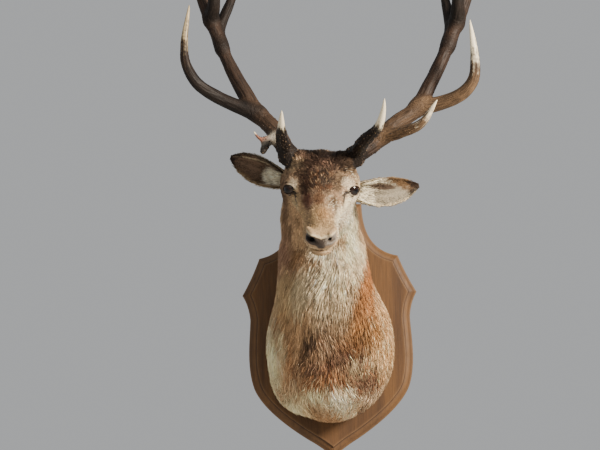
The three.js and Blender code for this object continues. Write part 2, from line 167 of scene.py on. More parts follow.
def finish(name, **sockets):
    """A new material, its node tree and its shader, with some of the shader's sockets set."""
    made = bpy.data.materials.new(name)
    made.use_nodes = True
    shader = made.node_tree.nodes["Principled BSDF"]
    for key, value in sockets.items():
        shader.inputs[key.replace("_", " ")].default_value = value
    return made, made.node_tree, shader


def piece(name, points, faces, material, slot, replaced=(), smooth=True, **attributes):
    """A mesh of its own from points in millimetres and an array, or a list, of faces."""
    mesh = bpy.data.meshes.new(name)
    if isinstance(faces, np.ndarray):
        count, sides = faces.shape
        mesh.vertices.add(len(points))
        mesh.loops.add(faces.size)
        mesh.polygons.add(count)
        mesh.vertices.foreach_set("co", (points * MM).astype(np.float32).ravel())
        mesh.loops.foreach_set("vertex_index", faces.ravel().astype(np.int32))
        mesh.polygons.foreach_set("loop_start", np.arange(0, faces.size, sides, dtype=np.int32))
        mesh.update(calc_edges=True)
    else:
        mesh.from_pydata((np.asarray(points) * MM).tolist(), [], faces)
    mesh.polygons.foreach_set("use_smooth", np.full(len(mesh.polygons), smooth))
    for key, values in attributes.items():
        values = np.asarray(values, np.float32)
        if values.ndim == 2:
            made = mesh.attributes.new(key, "FLOAT_COLOR", "POINT")
            made.data.foreach_set("color", np.column_stack([values, np.ones(len(values))]).ravel())
        else:
            made = mesh.attributes.new(key, "FLOAT", "POINT")
            made.data.foreach_set("value", values)
    mesh.materials.append(material)
    thing = bpy.data.objects.new(name, mesh)
    bpy.context.scene.collection.objects.link(thing)
    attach(thing, "root")
    if replaced:
        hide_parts(*replaced)
    return thing


def bezier(pins, count):
    """Points along a Bezier curve of any degree."""
    pins = np.array(pins, float)
    t = np.linspace(0, 1, count)[:, None]
    while len(pins) > 1:
        pins = [a + (b - a) * t for a, b in zip(pins[:-1], pins[1:])]
    return pins[0]


def board_side_lines(distance):
    """The outline's sides, each drawn in by a distance, in order round the board."""
    right = [np.vstack([bezier(p, 60)[(1 if k else 0) :] for k, p in enumerate(s)]) for s in BOARD_SIDES]
    lines = right + [side[::-1] * (-1, 1) for side in right[::-1]]
    drawn = []
    for line in lines:
        run = np.gradient(line, axis=0)
        run /= np.linalg.norm(run, axis=1)[:, None]
        drawn.append(line + np.column_stack([run[:, 1], -run[:, 0]]) * distance)
    return drawn


def crossing(line, other):
    """Where two lines of points cross, as a place along each, or their ends where they only meet."""
    a, b = line[:-1, None], np.diff(line, axis=0)[:, None]
    c, d = other[None, :-1], np.diff(other, axis=0)[None]
    det = b[..., 0] * d[..., 1] - b[..., 1] * d[..., 0]
    det[abs(det) < 1e-9] = 1e-9
    gap = c - a
    s = (gap[..., 0] * d[..., 1] - gap[..., 1] * d[..., 0]) / det
    t = (gap[..., 0] * b[..., 1] - gap[..., 1] * b[..., 0]) / det
    hits = np.argwhere((s >= 0) & (s <= 1) & (t >= 0) & (t <= 1))
    if not len(hits):
        return len(line) - 1.0, 0.0
    i, j = hits[np.argmax(hits[:, 0])]
    return i + s[i, j], j + t[i, j]


def board_ring(distance):
    """The outline drawn in by a distance, as one ring of points with its sides mitred where they cross."""
    lines = board_side_lines(distance)
    meets = [crossing(line, lines[(i + 1) % len(lines)]) for i, line in enumerate(lines)]
    ring = []
    for i, line in enumerate(lines):
        steps = max(8, int(round(len(line) / 2)))
        at = np.linspace(meets[i - 1][1], meets[i][0], steps, endpoint=False)
        base = np.minimum(at.astype(int), len(line) - 2)
        part = (at - base)[:, None]
        ring.append(line[base] * (1 - part) + line[base + 1] * part)
    return np.vstack(ring)


rings = [board_ring(inward) for inward, *_ in MOULDING]
around = len(rings[0])
heights = [np.full(around, -height) for _, height, _, _ in MOULDING]
points = np.vstack([np.column_stack([r[:, 0], out, r[:, 1]]) for r, out in zip(rings, heights)])
faces = []
for k in range(len(rings) - 1):
    for i in range(around):
        a, b = k * around + i, k * around + (i + 1) % around
        faces.append((a, a + around, b + around, b))
faces.append(tuple(range(around)))
faces.append(tuple(range((len(rings) - 1) * around, len(rings) * around))[::-1])

# Stained oak: a warm mid brown, with straight upright grain, short dark pores and pale worn arrises.
OAK_DARK, OAK_MIDDLE, OAK_PALE, OAK_RUBBED, OAK_HOLLOW_TONE = "#3b2613", "#52371c", "#674724", "#735739", "#27150b"
oak, tree, shader = finish("oak_stained", Specular_IOR_Level=0.35)
where = node(tree, "ShaderNodeTexCoord").outputs["Object"]
boards = node(tree, "ShaderNodeMapping", {"Vector": where, "Scale": (22, 22, 1.6)}).outputs[0]
bands = noise(tree, boards, 1.0, 3.0, Distortion=0.6)
grain = node(tree, "ShaderNodeMapping", {"Vector": where, "Scale": (420, 420, 14)}).outputs[0]
lines = noise(tree, grain, 1.0, 4.0, Roughness=0.65)
pores = node(tree, "ShaderNodeMapping", {"Vector": where, "Scale": (700, 700, 60)}).outputs[0]
pore = noise(tree, pores, 1.0, 1.0)
tones = node(
    tree,
    "ShaderNodeValToRGB",
    {"Fac": bands},
    ramp=[(0.3, linear(OAK_DARK)), (0.72, linear(OAK_PALE)), (0.5, linear(OAK_MIDDLE))],
).outputs[0]
streaked = mixed(tree, 1.0, tones, ranged(tree, lines, 0.72, 1.16, 0.35, 0.65), "MULTIPLY")
patchy = noise(tree, where, 38.0, 3.0)
rub = node(tree, "ShaderNodeMath", {0: stored(tree, "worn"), 1: patchy}, operation="MULTIPLY").outputs[0]
rubbed = mixed(tree, rub, streaked, linear(OAK_RUBBED))
# The colour is darker in the moulding's crease and along its back edge, as far as the moulding's table gives.
hollow_darkened = node(tree, "ShaderNodeMath", {0: stored(tree, "dirt"), 1: 0.75}, operation="MULTIPLY").outputs[0]
tree.links.new(mixed(tree, hollow_darkened, rubbed, linear(OAK_HOLLOW_TONE)), shader.inputs["Base Color"])
tree.links.new(ranged(tree, pore, 0.72, 0.55, 0.3, 0.7), shader.inputs["Roughness"])
relief = node(tree, "ShaderNodeBump", {"Strength": 0.35, "Distance": 0.0006, "Height": lines}).outputs[0]
relief = node(
    tree, "ShaderNodeBump", {"Strength": 0.3, "Distance": 0.0004, "Height": pore, "Normal": relief}
).outputs[0]
tree.links.new(relief, shader.inputs["Normal"])

wear, hollow_darkness = (np.repeat([m[k] for m in MOULDING], around) for k in (2, 3))
piece("oak_shield", points, faces, oak, "oak", ["shield"], smooth=False, worn=wear, dirt=hollow_darkness)

# ---------------------------------------------------------------- fixing screws
# Three steel screw heads with plain slots, sunk in the back of the board. They hold the stag's form to it.
SCREW_PLACES = [(0, 105), (-62, -70), (62, -70)]
SCREW_HEAD = {"Radius": 6, "Thickness": 3, "Slot width": 1.4, "Slot depth": 1.3, "Sunk": 1.9}

steel, tree, shader = finish("zinc_plated_steel", Metallic=1.0)
shader.inputs["Base Color"].default_value = linear("#8d8c88")
where = node(tree, "ShaderNodeTexCoord").outputs["Object"]
tree.links.new(ranged(tree, noise(tree, where, 900.0, 3.0), 0.3, 0.55), shader.inputs["Roughness"])


def point_tree(name, values):
    """A Geometry Nodes tree that takes points and named values, and the sockets that bring them in."""
    tree = bpy.data.node_groups.new(name, "GeometryNodeTree")
    tree.interface.new_socket("Geometry", in_out="INPUT", socket_type="NodeSocketGeometry")
    for value, kind in values.items():
        tree.interface.new_socket(value, in_out="INPUT", socket_type=f"NodeSocket{kind}")
    tree.interface.new_socket("Geometry", in_out="OUTPUT", socket_type="NodeSocketGeometry")
    return tree, node(tree, "NodeGroupInput").outputs


def set_on_each(tree, given, thing, material, **more):
    """Ends a tree: the thing is set on each of the points, and has a material."""
    inputs = {"Points": given["Geometry"], "Instance": thing, **more}
    laid = node(tree, "GeometryNodeInstanceOnPoints", inputs).outputs[0]
    real = node(tree, "GeometryNodeRealizeInstances", {"Geometry": laid}).outputs[0]
    done = node(tree, "GeometryNodeSetMaterial", {"Geometry": real, "Material": material}).outputs[0]
    node(tree, "NodeGroupOutput", {0: done})


tree, given = point_tree("Screw heads", dict.fromkeys(SCREW_HEAD, "Float"))
crown = node(
    tree,
    "GeometryNodeMeshCylinder",
    {
        "Vertices": 40,
        "Side Segments": 1,
        "Fill Segments": 1,
        "Radius": given["Radius"],
        "Depth": given["Thickness"],
    },
)
across = node(tree, "ShaderNodeMath", {0: given["Radius"], 1: 2.4}, operation="MULTIPLY").outputs[0]
deep = node(tree, "ShaderNodeMath", {0: given["Slot depth"], 1: 2.0}, operation="MULTIPLY").outputs[0]
slot_size = node(tree, "ShaderNodeCombineXYZ", {0: across, 1: given["Slot width"], 2: deep}).outputs[0]
slot_up = node(tree, "ShaderNodeMath", {0: given["Thickness"], 1: 0.5}, operation="MULTIPLY").outputs[0]
slot_at = node(tree, "ShaderNodeCombineXYZ", {2: slot_up}).outputs[0]
cutter = node(tree, "GeometryNodeMeshCube", {"Size": slot_size}).outputs["Mesh"]
cutter = node(tree, "GeometryNodeTransform", {"Geometry": cutter, "Translation": slot_at}).outputs[0]
slotted = node(tree, "GeometryNodeMeshBoolean", {0: crown.outputs["Mesh"], 1: cutter}).outputs["Mesh"]
# The heads face the wall, so each is turned from +Z to +Y and sunk below the back of the board.
sunk = node(tree, "ShaderNodeMath", {0: given["Sunk"], 1: -1.0}, operation="MULTIPLY").outputs[0]
sunk = node(tree, "ShaderNodeMath", {0: sunk, 1: slot_up}, operation="SUBTRACT").outputs[0]
place = node(tree, "ShaderNodeCombineXYZ", {1: sunk}).outputs[0]
turned = node(
    tree,
    "GeometryNodeTransform",
    {"Geometry": slotted, "Rotation": (-math.pi / 2, 0, 0), "Translation": place},
).outputs[0]
set_on_each(tree, given, turned, steel)


def grown(tree, name, points, values):
    """The plain mesh that a Geometry Nodes tree makes from some points, in metres."""
    mesh = bpy.data.meshes.new(name)
    mesh.from_pydata([tuple(p) for p in points], [], [])
    seed = bpy.data.objects.new(name, mesh)
    bpy.context.scene.collection.objects.link(seed)
    modifier = seed.modifiers.new(name, "NODES")
    modifier.node_group = tree
    for item in tree.interface.items_tree:
        if item.in_out == "INPUT" and item.name in values:
            modifier[item.identifier] = values[item.name]
    seen = seed.evaluated_get(bpy.context.evaluated_depsgraph_get())
    made = bpy.data.meshes.new_from_object(seen)
    seed.modifiers.remove(modifier)
    seed.data = made
    made.name = name
    return seed


screws = grown(
    tree,
    "fixing_screws",
    [(x * MM, 0, z * MM) for x, z in SCREW_PLACES],
    {name: size * MM for name, size in SCREW_HEAD.items()},
)
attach(screws, "root")
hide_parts("fixing_screw_1", "fixing_screw_2", "fixing_screw_3")

# ---------------------------------------------------------------- skin
# One tanned skin over a carved form: head, neck and chest in one piece, with lids, nostrils and lips tucked
# in. It lies inside the flesh solids by the depth of the coat, and ends flat against the board.
#
# The head's own frame starts between its eyes. The head nods, and tilts a little to one side.
EYES_AT = np.array([-19.0, -430.0, 277.0])
HEAD_TILT, HEAD_NOD = math.radians(2.4), math.radians(30)
HEAD_TURN = np.array(Matrix.Rotation(HEAD_TILT, 3, "Y") @ Matrix.Rotation(HEAD_NOD, 3, "X"))


def from_head(ahead, aside, up):
    """Places on the mount, from distances ahead to the nose, aside to the stag's left and up off the brow."""
    return np.stack(np.broadcast_arrays(aside, -np.asarray(ahead, float), up), -1) @ HEAD_TURN.T + EYES_AT


def to_head(points):
    turned = (points - EYES_AT) @ HEAD_TURN
    return np.column_stack([-turned[:, 1], turned[:, 0], turned[:, 2]])


def smooth(value, low, high):
    t = np.clip((value - low) / (high - low), 0, 1)
    return t * t * (3 - 2 * t)


def soft_union(a, b, blend):
    """Two forms joined with a fillet."""
    h = np.maximum(blend - abs(a - b), 0) / blend
    return np.minimum(a, b) - h * h * blend / 4


def carve(form, tool, blend):
    """A form with a tool's shape cut away, and its edge rounded."""
    return -soft_union(-form, tool, blend)


def ball(points, place, radii):
    """About how far points lie outside an ellipsoid."""
    off = points - np.array(place, float)
    near = np.linalg.norm(off / radii, axis=1)
    slope = np.linalg.norm(off / np.square(radii, dtype=float), axis=1) + 1e-9
    return near * (near - 1) / slope


def rod(points, start, first, end, last, wide=1.0, axis=1):
    """How far points lie outside a round-ended rod that tapers, and that is stretched along one axis."""
    stretch = np.ones(3)
    stretch[axis] = 1 / wide
    run = (np.array(end, float) - start) * stretch
    off = (points - np.array(start, float)) * stretch
    t = np.clip(off @ run / (run @ run), 0, 1)
    return (np.linalg.norm(off - t[:, None] * run, axis=1) - (first + (last - first) * t)) * min(1, wide)


# The head's masses in its own frame, the same on both sides. A ball has a middle, radii and how widely it
# blends in. A rod has two ends with their radii, then how wide it is for its height, and its blend.
HEAD_BALLS = {
    "cranium": ((-85, 0, -8), (72, 64, 60), 25),
    "forehead": ((-32, 0, 16), (68, 60, 42), 25),
    "forelock": ((-58, 0, 36), (44, 46, 24), 18),
    "orbit": ((-14, 57, 8), (34, 32, 29), 16),
    "pedicle": ((-74, 52, 40), (30, 27, 28), 22),
    "temple": ((-62, 56, -12), (46, 26, 34), 25),
    "ear root": ((-100, 58, -26), (32, 30, 34), 22),
    "cheek": ((-38, 38, -66), (58, 28, 48), 25),
    "flews": ((170, 19, -46), (42, 20, 20), 18),
    "nose": ((206, 0, -35), (29, 33, 25), 16),
    "nostril wing": ((214, 19, -29), (18, 15, 16), 10),
    "chin": ((192, 0, -70), (24, 21, 13), 14),
}
HEAD_RODS = {
    "face": ((10, 0, -22), 58, (178, 0, -36), 33, 0.95, 22),
    "jaw": ((-45, 0, -74), 46, (186, 0, -64), 15, 1.15, 20),
    "cheekbone": ((52, 40, -20), 14, (-58, 62, -24), 20, 1, 24),
}
NECK_RODS = {
    "throat": ((-25, -330, 298), 70, (-25, -262, 236), 88, 1.05, 34),
    "mane": ((-25, -262, 236), 88, (-19, -215, 170), 119, 0.89, 30),
    "breast": ((-19, -215, 170), 119, (-14, -172, 50), 160, 0.6, 30),
    "chest": ((-14, -172, 50), 158, (-3, -128, -40), 176, 0.75, 40),
    "nape": ((-23, -318, 318), 56, (-6, -60, 134), 66, 1.11, 34),
}
BRISKET = ((-3, -108, -72), (162, 176, 186))
# The chest hangs lower and squarer at the stag's right.
RIGHT_FLANK = ((-72, -85, -150), (78, 95, 84))
NAPE_AT, NAPE_FACING = np.array([-21, -350, 180]), np.array([0, -0.958, 0.287])
SKIN_GAP = 0.3
BOARD_FACE = -BOARD_THICK - SKIN_GAP


def both_sides(points):
    """Places in the head's frame, with the right side folded over on to the left."""
    head = to_head(points)
    head[:, 1] = abs(head[:, 1])
    return head


def coat_field(points):
    """How far points lie outside the coat's outer form."""
    head = both_sides(points)
    form = np.full(len(points), 1e9)
    for place, radii, blend in HEAD_BALLS.values():
        form = soft_union(form, ball(head, place, radii), blend)
    for *ends, wide, blend in HEAD_RODS.values():
        form = soft_union(form, rod(head, *ends, wide), blend)
    neck = soft_union(ball(points, *BRISKET), ball(points, *RIGHT_FLANK), 22)
    for *ends, wide, blend in NECK_RODS.values():
        neck = soft_union(neck, rod(points, *ends, wide, axis=0), blend)
    return soft_union(form, neck, 56)


def neck_share(points):
    """How much of each place belongs to the neck and chest, and not to the head."""
    return smooth((points - NAPE_AT) @ NAPE_FACING, 30, -60)


def about(head, middle, reach):
    """How near places are to a middle, from one down to nothing over a reach."""
    return np.exp(-((head - middle) ** 2).sum(axis=1) / reach**2)


# How deep the skin lies under the tips of the coat. The nose is nearly bare, and the forelock, the jaw and
# the nape are deeper than the face.
FACE_DEPTH, NOSE_DEPTH, NECK_DEPTH, CHEST_DEPTH = 3.4, 0.8, 15, 24
FORELOCK_MORE, JAW_MORE, NAPE_MORE = 13, 6, 7


def coat_depth(points):
    head = both_sides(points)
    ahead, _, up = head.T
    depth = FACE_DEPTH - (FACE_DEPTH - NOSE_DEPTH) * smooth(ahead, 196, 222)
    depth += FORELOCK_MORE * about(head, (-64, 0, 46), 42)
    depth += JAW_MORE * smooth(up, -45, -95) * smooth(ahead, 170, 10)
    depth += NAPE_MORE * smooth(ahead, -50, -120)
    body = NECK_DEPTH + (CHEST_DEPTH - NECK_DEPTH) * smooth(points[:, 2], 120, -120)
    return depth + (body - depth) * neck_share(points)


def form_height(points):
    """How far points lie above the skin, before its lids, nostrils and lips are cut."""
    return coat_field(points) + coat_depth(points)


# Each eye's own frame: across it to the inner corner, out along its look, and up.
EYE_RADIUS, EYE_LOOK = 19.5, math.radians(40)
BALL_MIDDLE = np.array([-2.0, 68.0, 1.0])
ACROSS = np.array([math.sin(EYE_LOOK), -math.cos(EYE_LOOK), 0])
OUT = np.array([math.cos(EYE_LOOK), math.sin(EYE_LOOK), 0])
EYE_RISE = 0.15
EYE_CORNERS = (-16, 18)
# Each lid's lift and thickness, then the upper and lower bounds of the opening and of the dark edges.
UPPER_LID, LOWER_LID = (12.8, 2.4), (-10.0, 2.1)
OPENING, DARK_EDGES = (11.2, -8.6), (13.8, -10.8)


def lid_line(across, lift):
    """A lid's edge at places across the eye: it rises to its lift between the slanting eye's corners."""
    return lift * np.clip(1 - np.abs((across - 1) / 17.5) ** 2.4, 0, 1) ** 0.8 + across * EYE_RISE


def lids(head, form):
    """The eye's socket and its opening, between an upper and a lower lid that lie on the eyeball."""
    off = head - BALL_MIDDLE
    across, out, up = off @ ACROSS, off @ OUT, off[:, 2]
    along = np.linspace(*EYE_CORNERS, 18)
    for lift, thick in (UPPER_LID, LOWER_LID):
        line = lid_line(along, lift)
        shell = EYE_RADIUS + 0.5
        away = np.sqrt(shell**2 - along**2 - line**2)
        path = BALL_MIDDLE + along[:, None] * ACROSS + away[:, None] * OUT + line[:, None] * [0, 0, 1]
        rim = np.full(len(head), 1e9)
        for start, end in zip(path[:-1], path[1:]):
            rim = np.minimum(rim, rod(head, start, thick, end, thick))
        form = soft_union(form, rim, 5)
    gap = np.maximum(up - lid_line(across, OPENING[0]), lid_line(across, OPENING[1]) - up)
    opening = np.maximum.reduce([gap, 4 - out, across - EYE_CORNERS[1], EYE_CORNERS[0] - across])
    form = carve(form, opening, 1.2)
    return carve(form, np.linalg.norm(off, axis=1) - EYE_RADIUS - 0.15, 0.6)


def skin_field(points):
    """How far points lie outside the skin, which ends flat at the board."""
    form = form_height(points)
    head = both_sides(points)
    near = np.flatnonzero(head[:, 0] > -60)
    here, part = head[near], form[near]
    ahead, aside, up = here.T
    # The tear pit below each inner corner, the nostrils with their flare, and the line between the lips.
    part = carve(part, rod(here, (30, 60, -2), 3.4, (68, 53, -12), 2.0), 6)
    part = soft_union(part, rod(here, (205, 30, -14), 5, (228, 21, -18), 5), 7)
    part = carve(part, rod(here, (236, 10, -39), 4.0, (229, 23, -31), 6.0), 3)
    part = carve(part, rod(here, (229, 23, -31), 6.0, (205, 38, -25), 2.6), 3)
    part = carve(part, rod(here, (229, 20, -30), 4.4, (202, 14, -34), 5), 3)
    part = carve(part, rod(here, (236, 0, -44), 0.9, (229, 0, -62), 1.2), 2.5)
    lips = -62 - 3 * smooth(ahead, 225, 190) + 4 * smooth(ahead, 165, 110)
    slit = np.maximum.reduce([abs(up - lips) - 1.3, -part - 5, 106 - ahead])
    part = carve(part, slit, 2.5)
    orbit = np.flatnonzero((abs(here[:, 0] + 4) < 45) & (aside > 25) & (abs(up) < 45))
    part[orbit] = lids(here[orbit], part[orbit])
    form[near] = part
    folds = ripple(points, 55, 3) * 2.2 * neck_share(points)
    return np.maximum(form + folds, points[:, 1] - BOARD_FACE)


def ripple(points, size, seed):
    """Smooth noise, mostly between -1 and 1, in lumps of a size."""
    rng = np.random.default_rng(seed)
    waves = rng.normal(0, 2.2 / size, (3, 18))
    return np.cos(points @ waves + rng.uniform(0, 2 * math.pi, 18)).mean(axis=1) * 3.1


def steps_between(stops):
    """A grid line's places, from (place, spacing) stops: the spacing holds until the next stop."""
    places = [np.arange(a, b, step) for (a, step), (b, _) in zip(stops[:-1], stops[1:])]
    return np.concatenate([*places, [stops[-1][0]]])


AT_ONCE = 400_000


def wrap(field, axes, slack=1.7):
    """A surface net: the points and four-sided faces where a field is zero, on a grid of uneven steps."""
    shape = [len(a) for a in axes]
    step = 4
    rough = [a[::step] for a in axes]
    coarse = field(np.stack(np.meshgrid(*rough, indexing="ij"), -1).reshape(-1, 3)).astype(np.float32)
    coarse = coarse.reshape([len(a) for a in rough])
    nearest = [np.minimum(np.rint(np.arange(n) / step).astype(int), len(r) - 1) for n, r in zip(shape, rough)]
    values = coarse[np.ix_(*nearest)]
    spans = [np.gradient(a) * step for a in axes]
    reach = np.sqrt(sum(s.reshape([-1 if i == k else 1 for k in range(3)]) ** 2 for i, s in enumerate(spans)))
    close = np.argwhere(abs(values) < reach * slack / 2 + 3)
    for part in np.array_split(close, max(1, len(close) // AT_ONCE)):
        at = np.column_stack([axes[k][part[:, k]] for k in range(3)])
        values[tuple(part.T)] = field(at)
    inside = values < 0
    strides = np.array([shape[1] * shape[2], shape[2], 1])
    places, cells = [], []
    for d in range(3):
        lower = [slice(1, -1)] * 3
        lower[d] = slice(0, -1)
        upper = list(lower)
        upper[d] = slice(1, None)
        cut = np.argwhere(inside[tuple(lower)] != inside[tuple(upper)])
        cut += [0 if k == d else 1 for k in range(3)]
        ahead = cut.copy()
        ahead[:, d] += 1
        va, vb = values[tuple(cut.T)], values[tuple(ahead.T)]
        a, b = (np.column_stack([axes[k][c[:, k]] for k in range(3)]) for c in (cut, ahead))
        places.append(a + (b - a) * (va / (va - vb))[:, None])
        e, f = strides[(d + 1) % 3], strides[(d + 2) % 3]
        base = cut @ strides
        ring = np.column_stack([base, base - e, base - e - f, base - f])
        cells.append(np.where((va < 0)[:, None], ring, ring[:, ::-1]))
    places, cells = np.vstack(places), np.vstack(cells)
    _, faces = np.unique(cells, return_inverse=True)
    faces = faces.reshape(-1, 4)
    met = np.bincount(faces.ravel())
    sums = [np.bincount(faces.ravel(), np.repeat(places[:, k], 4)) / met for k in range(3)]
    return np.column_stack(sums), faces


def slope_of(field, points, step=0.8):
    """A field's slope at each point, from four nearby places."""
    corners = np.array([(1, -1, -1), (-1, -1, 1), (-1, 1, -1), (1, 1, 1)]) * step
    return sum(field(points + c)[:, None] * c for c in corners) / (4 * step**2)


def settle(field, points, rounds=2):
    """Moves points on to a field's zero surface."""
    for _ in range(rounds):
        slope = slope_of(field, points)
        points = points - slope * (field(points) / (slope**2).sum(axis=1).clip(0.2))[:, None]
    return points


# The grid is finest about the eyes and the muzzle, and coarse on the chest, which the coat hides.
skin_points, skin_faces = wrap(
    skin_field,
    [
        steps_between([(-190, 5), (-112, 2), (74, 5), (180, 5)]),
        steps_between([(-636, 2), (-560, 2.8), (-472, 1.8), (-404, 3), (-330, 5), (-12, 5)]),
        steps_between([(-276, 5.5), (96, 2.1), (178, 2.8), (252, 1.8), (304, 3), (412, 3)]),
    ],
)
skin_points = settle(skin_field, skin_points)
skin_points[:, 1] = np.minimum(skin_points[:, 1], BOARD_FACE)

# ---------------------------------------------------------------- ears
# A leaf of skin over a thin liner, rolled into a cup that opens forwards. Two low ribs run up the inside.
EAR_THICK = 3.4
EAR_WIDTH = (52, 78, 90, 84, 58, 10)
EAR_ROLL = np.radians((230, 180, 148, 128, 108, 80))
EAR_STEPS, EAR_SIDES = 56, 72
EAR_TURN = (np.arange(EAR_SIDES) + 0.5) * 2 * math.pi / EAR_SIDES
EAR_RIBS, RIB_WIDE, RIB_HIGH = (-0.3, 0.12), 0.07, 1.6
# Each ear's root in the head's frame, its tip, which way its cup opens, and how its middle bows.
EARS = {
    "left": ((-96, 62, -38), (216, -314, 298), (-0.1, -1, -0.25), (0, -6, -18)),
    "right": ((-98, -64, -24), (-234, -300, 380), (-0.2, -1, -0.4), (-6, 0, 6)),
}


def unit(rows):
    return rows / np.linalg.norm(rows, axis=-1, keepdims=True).clip(1e-9)


def tube_faces(rings, sides):
    """The four-sided faces of a closed tube: its wall, then strips across its first and last rings."""
    grid = np.arange(rings * sides).reshape(rings, sides)
    after = np.roll(grid, -1, axis=1)
    walls = np.stack([grid[:-1], grid[1:], after[1:], after[:-1]], -1).reshape(-1, 4)
    j = np.arange(sides // 2 - 1)
    cap = np.column_stack([j, j + 1, sides - 2 - j, sides - 1 - j])
    return np.vstack([walls, cap, cap[:, ::-1] + grid[-1, 0]])


def ear_points(root, tip, opening, bow, along, across, lift):
    """Places on an ear: shares along it and across it, from rim to rim, and a lift off its middle layer."""
    root, tip, opening = from_head(*root), np.array(tip, float), np.array(opening, float)
    middle = (root + tip) / 2 + bow
    s = along[:, None]
    place = root * (1 - s) ** 2 + middle * 2 * s * (1 - s) + tip * s**2
    run = unit((middle - root) * (1 - s) + (tip - middle) * s)
    face = unit(opening - run * (run @ opening)[:, None])
    cross = np.cross(face, run)
    stations = np.linspace(0, 1, len(EAR_WIDTH))
    roll = np.interp(along, stations, EAR_ROLL)
    radius = np.interp(along, stations, EAR_WIDTH) / roll
    angle = (across * roll / 2)[:, None]
    reach = (radius + lift)[:, None]
    return place + cross * np.sin(angle) * reach + face * (radius[:, None] - np.cos(angle) * reach)


ear_along = np.repeat(np.linspace(0, 1, EAR_STEPS), EAR_SIDES)
ear_turn = np.tile(EAR_TURN, EAR_STEPS)
ears = {}
for side, form in EARS.items():
    across, outer = np.cos(ear_turn), np.where(np.sin(ear_turn) >= 0, 1.0, -1.0)
    thick = EAR_THICK * np.sqrt(np.clip(1 - across**6, 0, 1)) * (1 - 0.55 * ear_along) + 0.5
    ribs = sum(np.exp(-(((across - at) / RIB_WIDE) ** 2)) for at in EAR_RIBS)
    ribs *= RIB_HIGH * smooth(ear_along, 0.12, 0.35)
    lift = outer * thick / 2 - ribs * (outer < 0) * smooth(ear_along, 1, 0.7)
    points = ear_points(*form, ear_along, across * (1 - 0.02 * ear_along), lift)
    ears[side] = points, tube_faces(EAR_STEPS, EAR_SIDES)

# ---------------------------------------------------------------- markings
# A red deer's coat: dark tousled forelock, tan bridge, pale face and throat, a russet streak down the breast
# and dark bands among faded cream on the chest. Skin and hair take their colour from the same patches.
HEAD_COAT, NECK_COAT, NOSE_EDGE = "#aa8e71", "#b69977", "#d9c7a2"
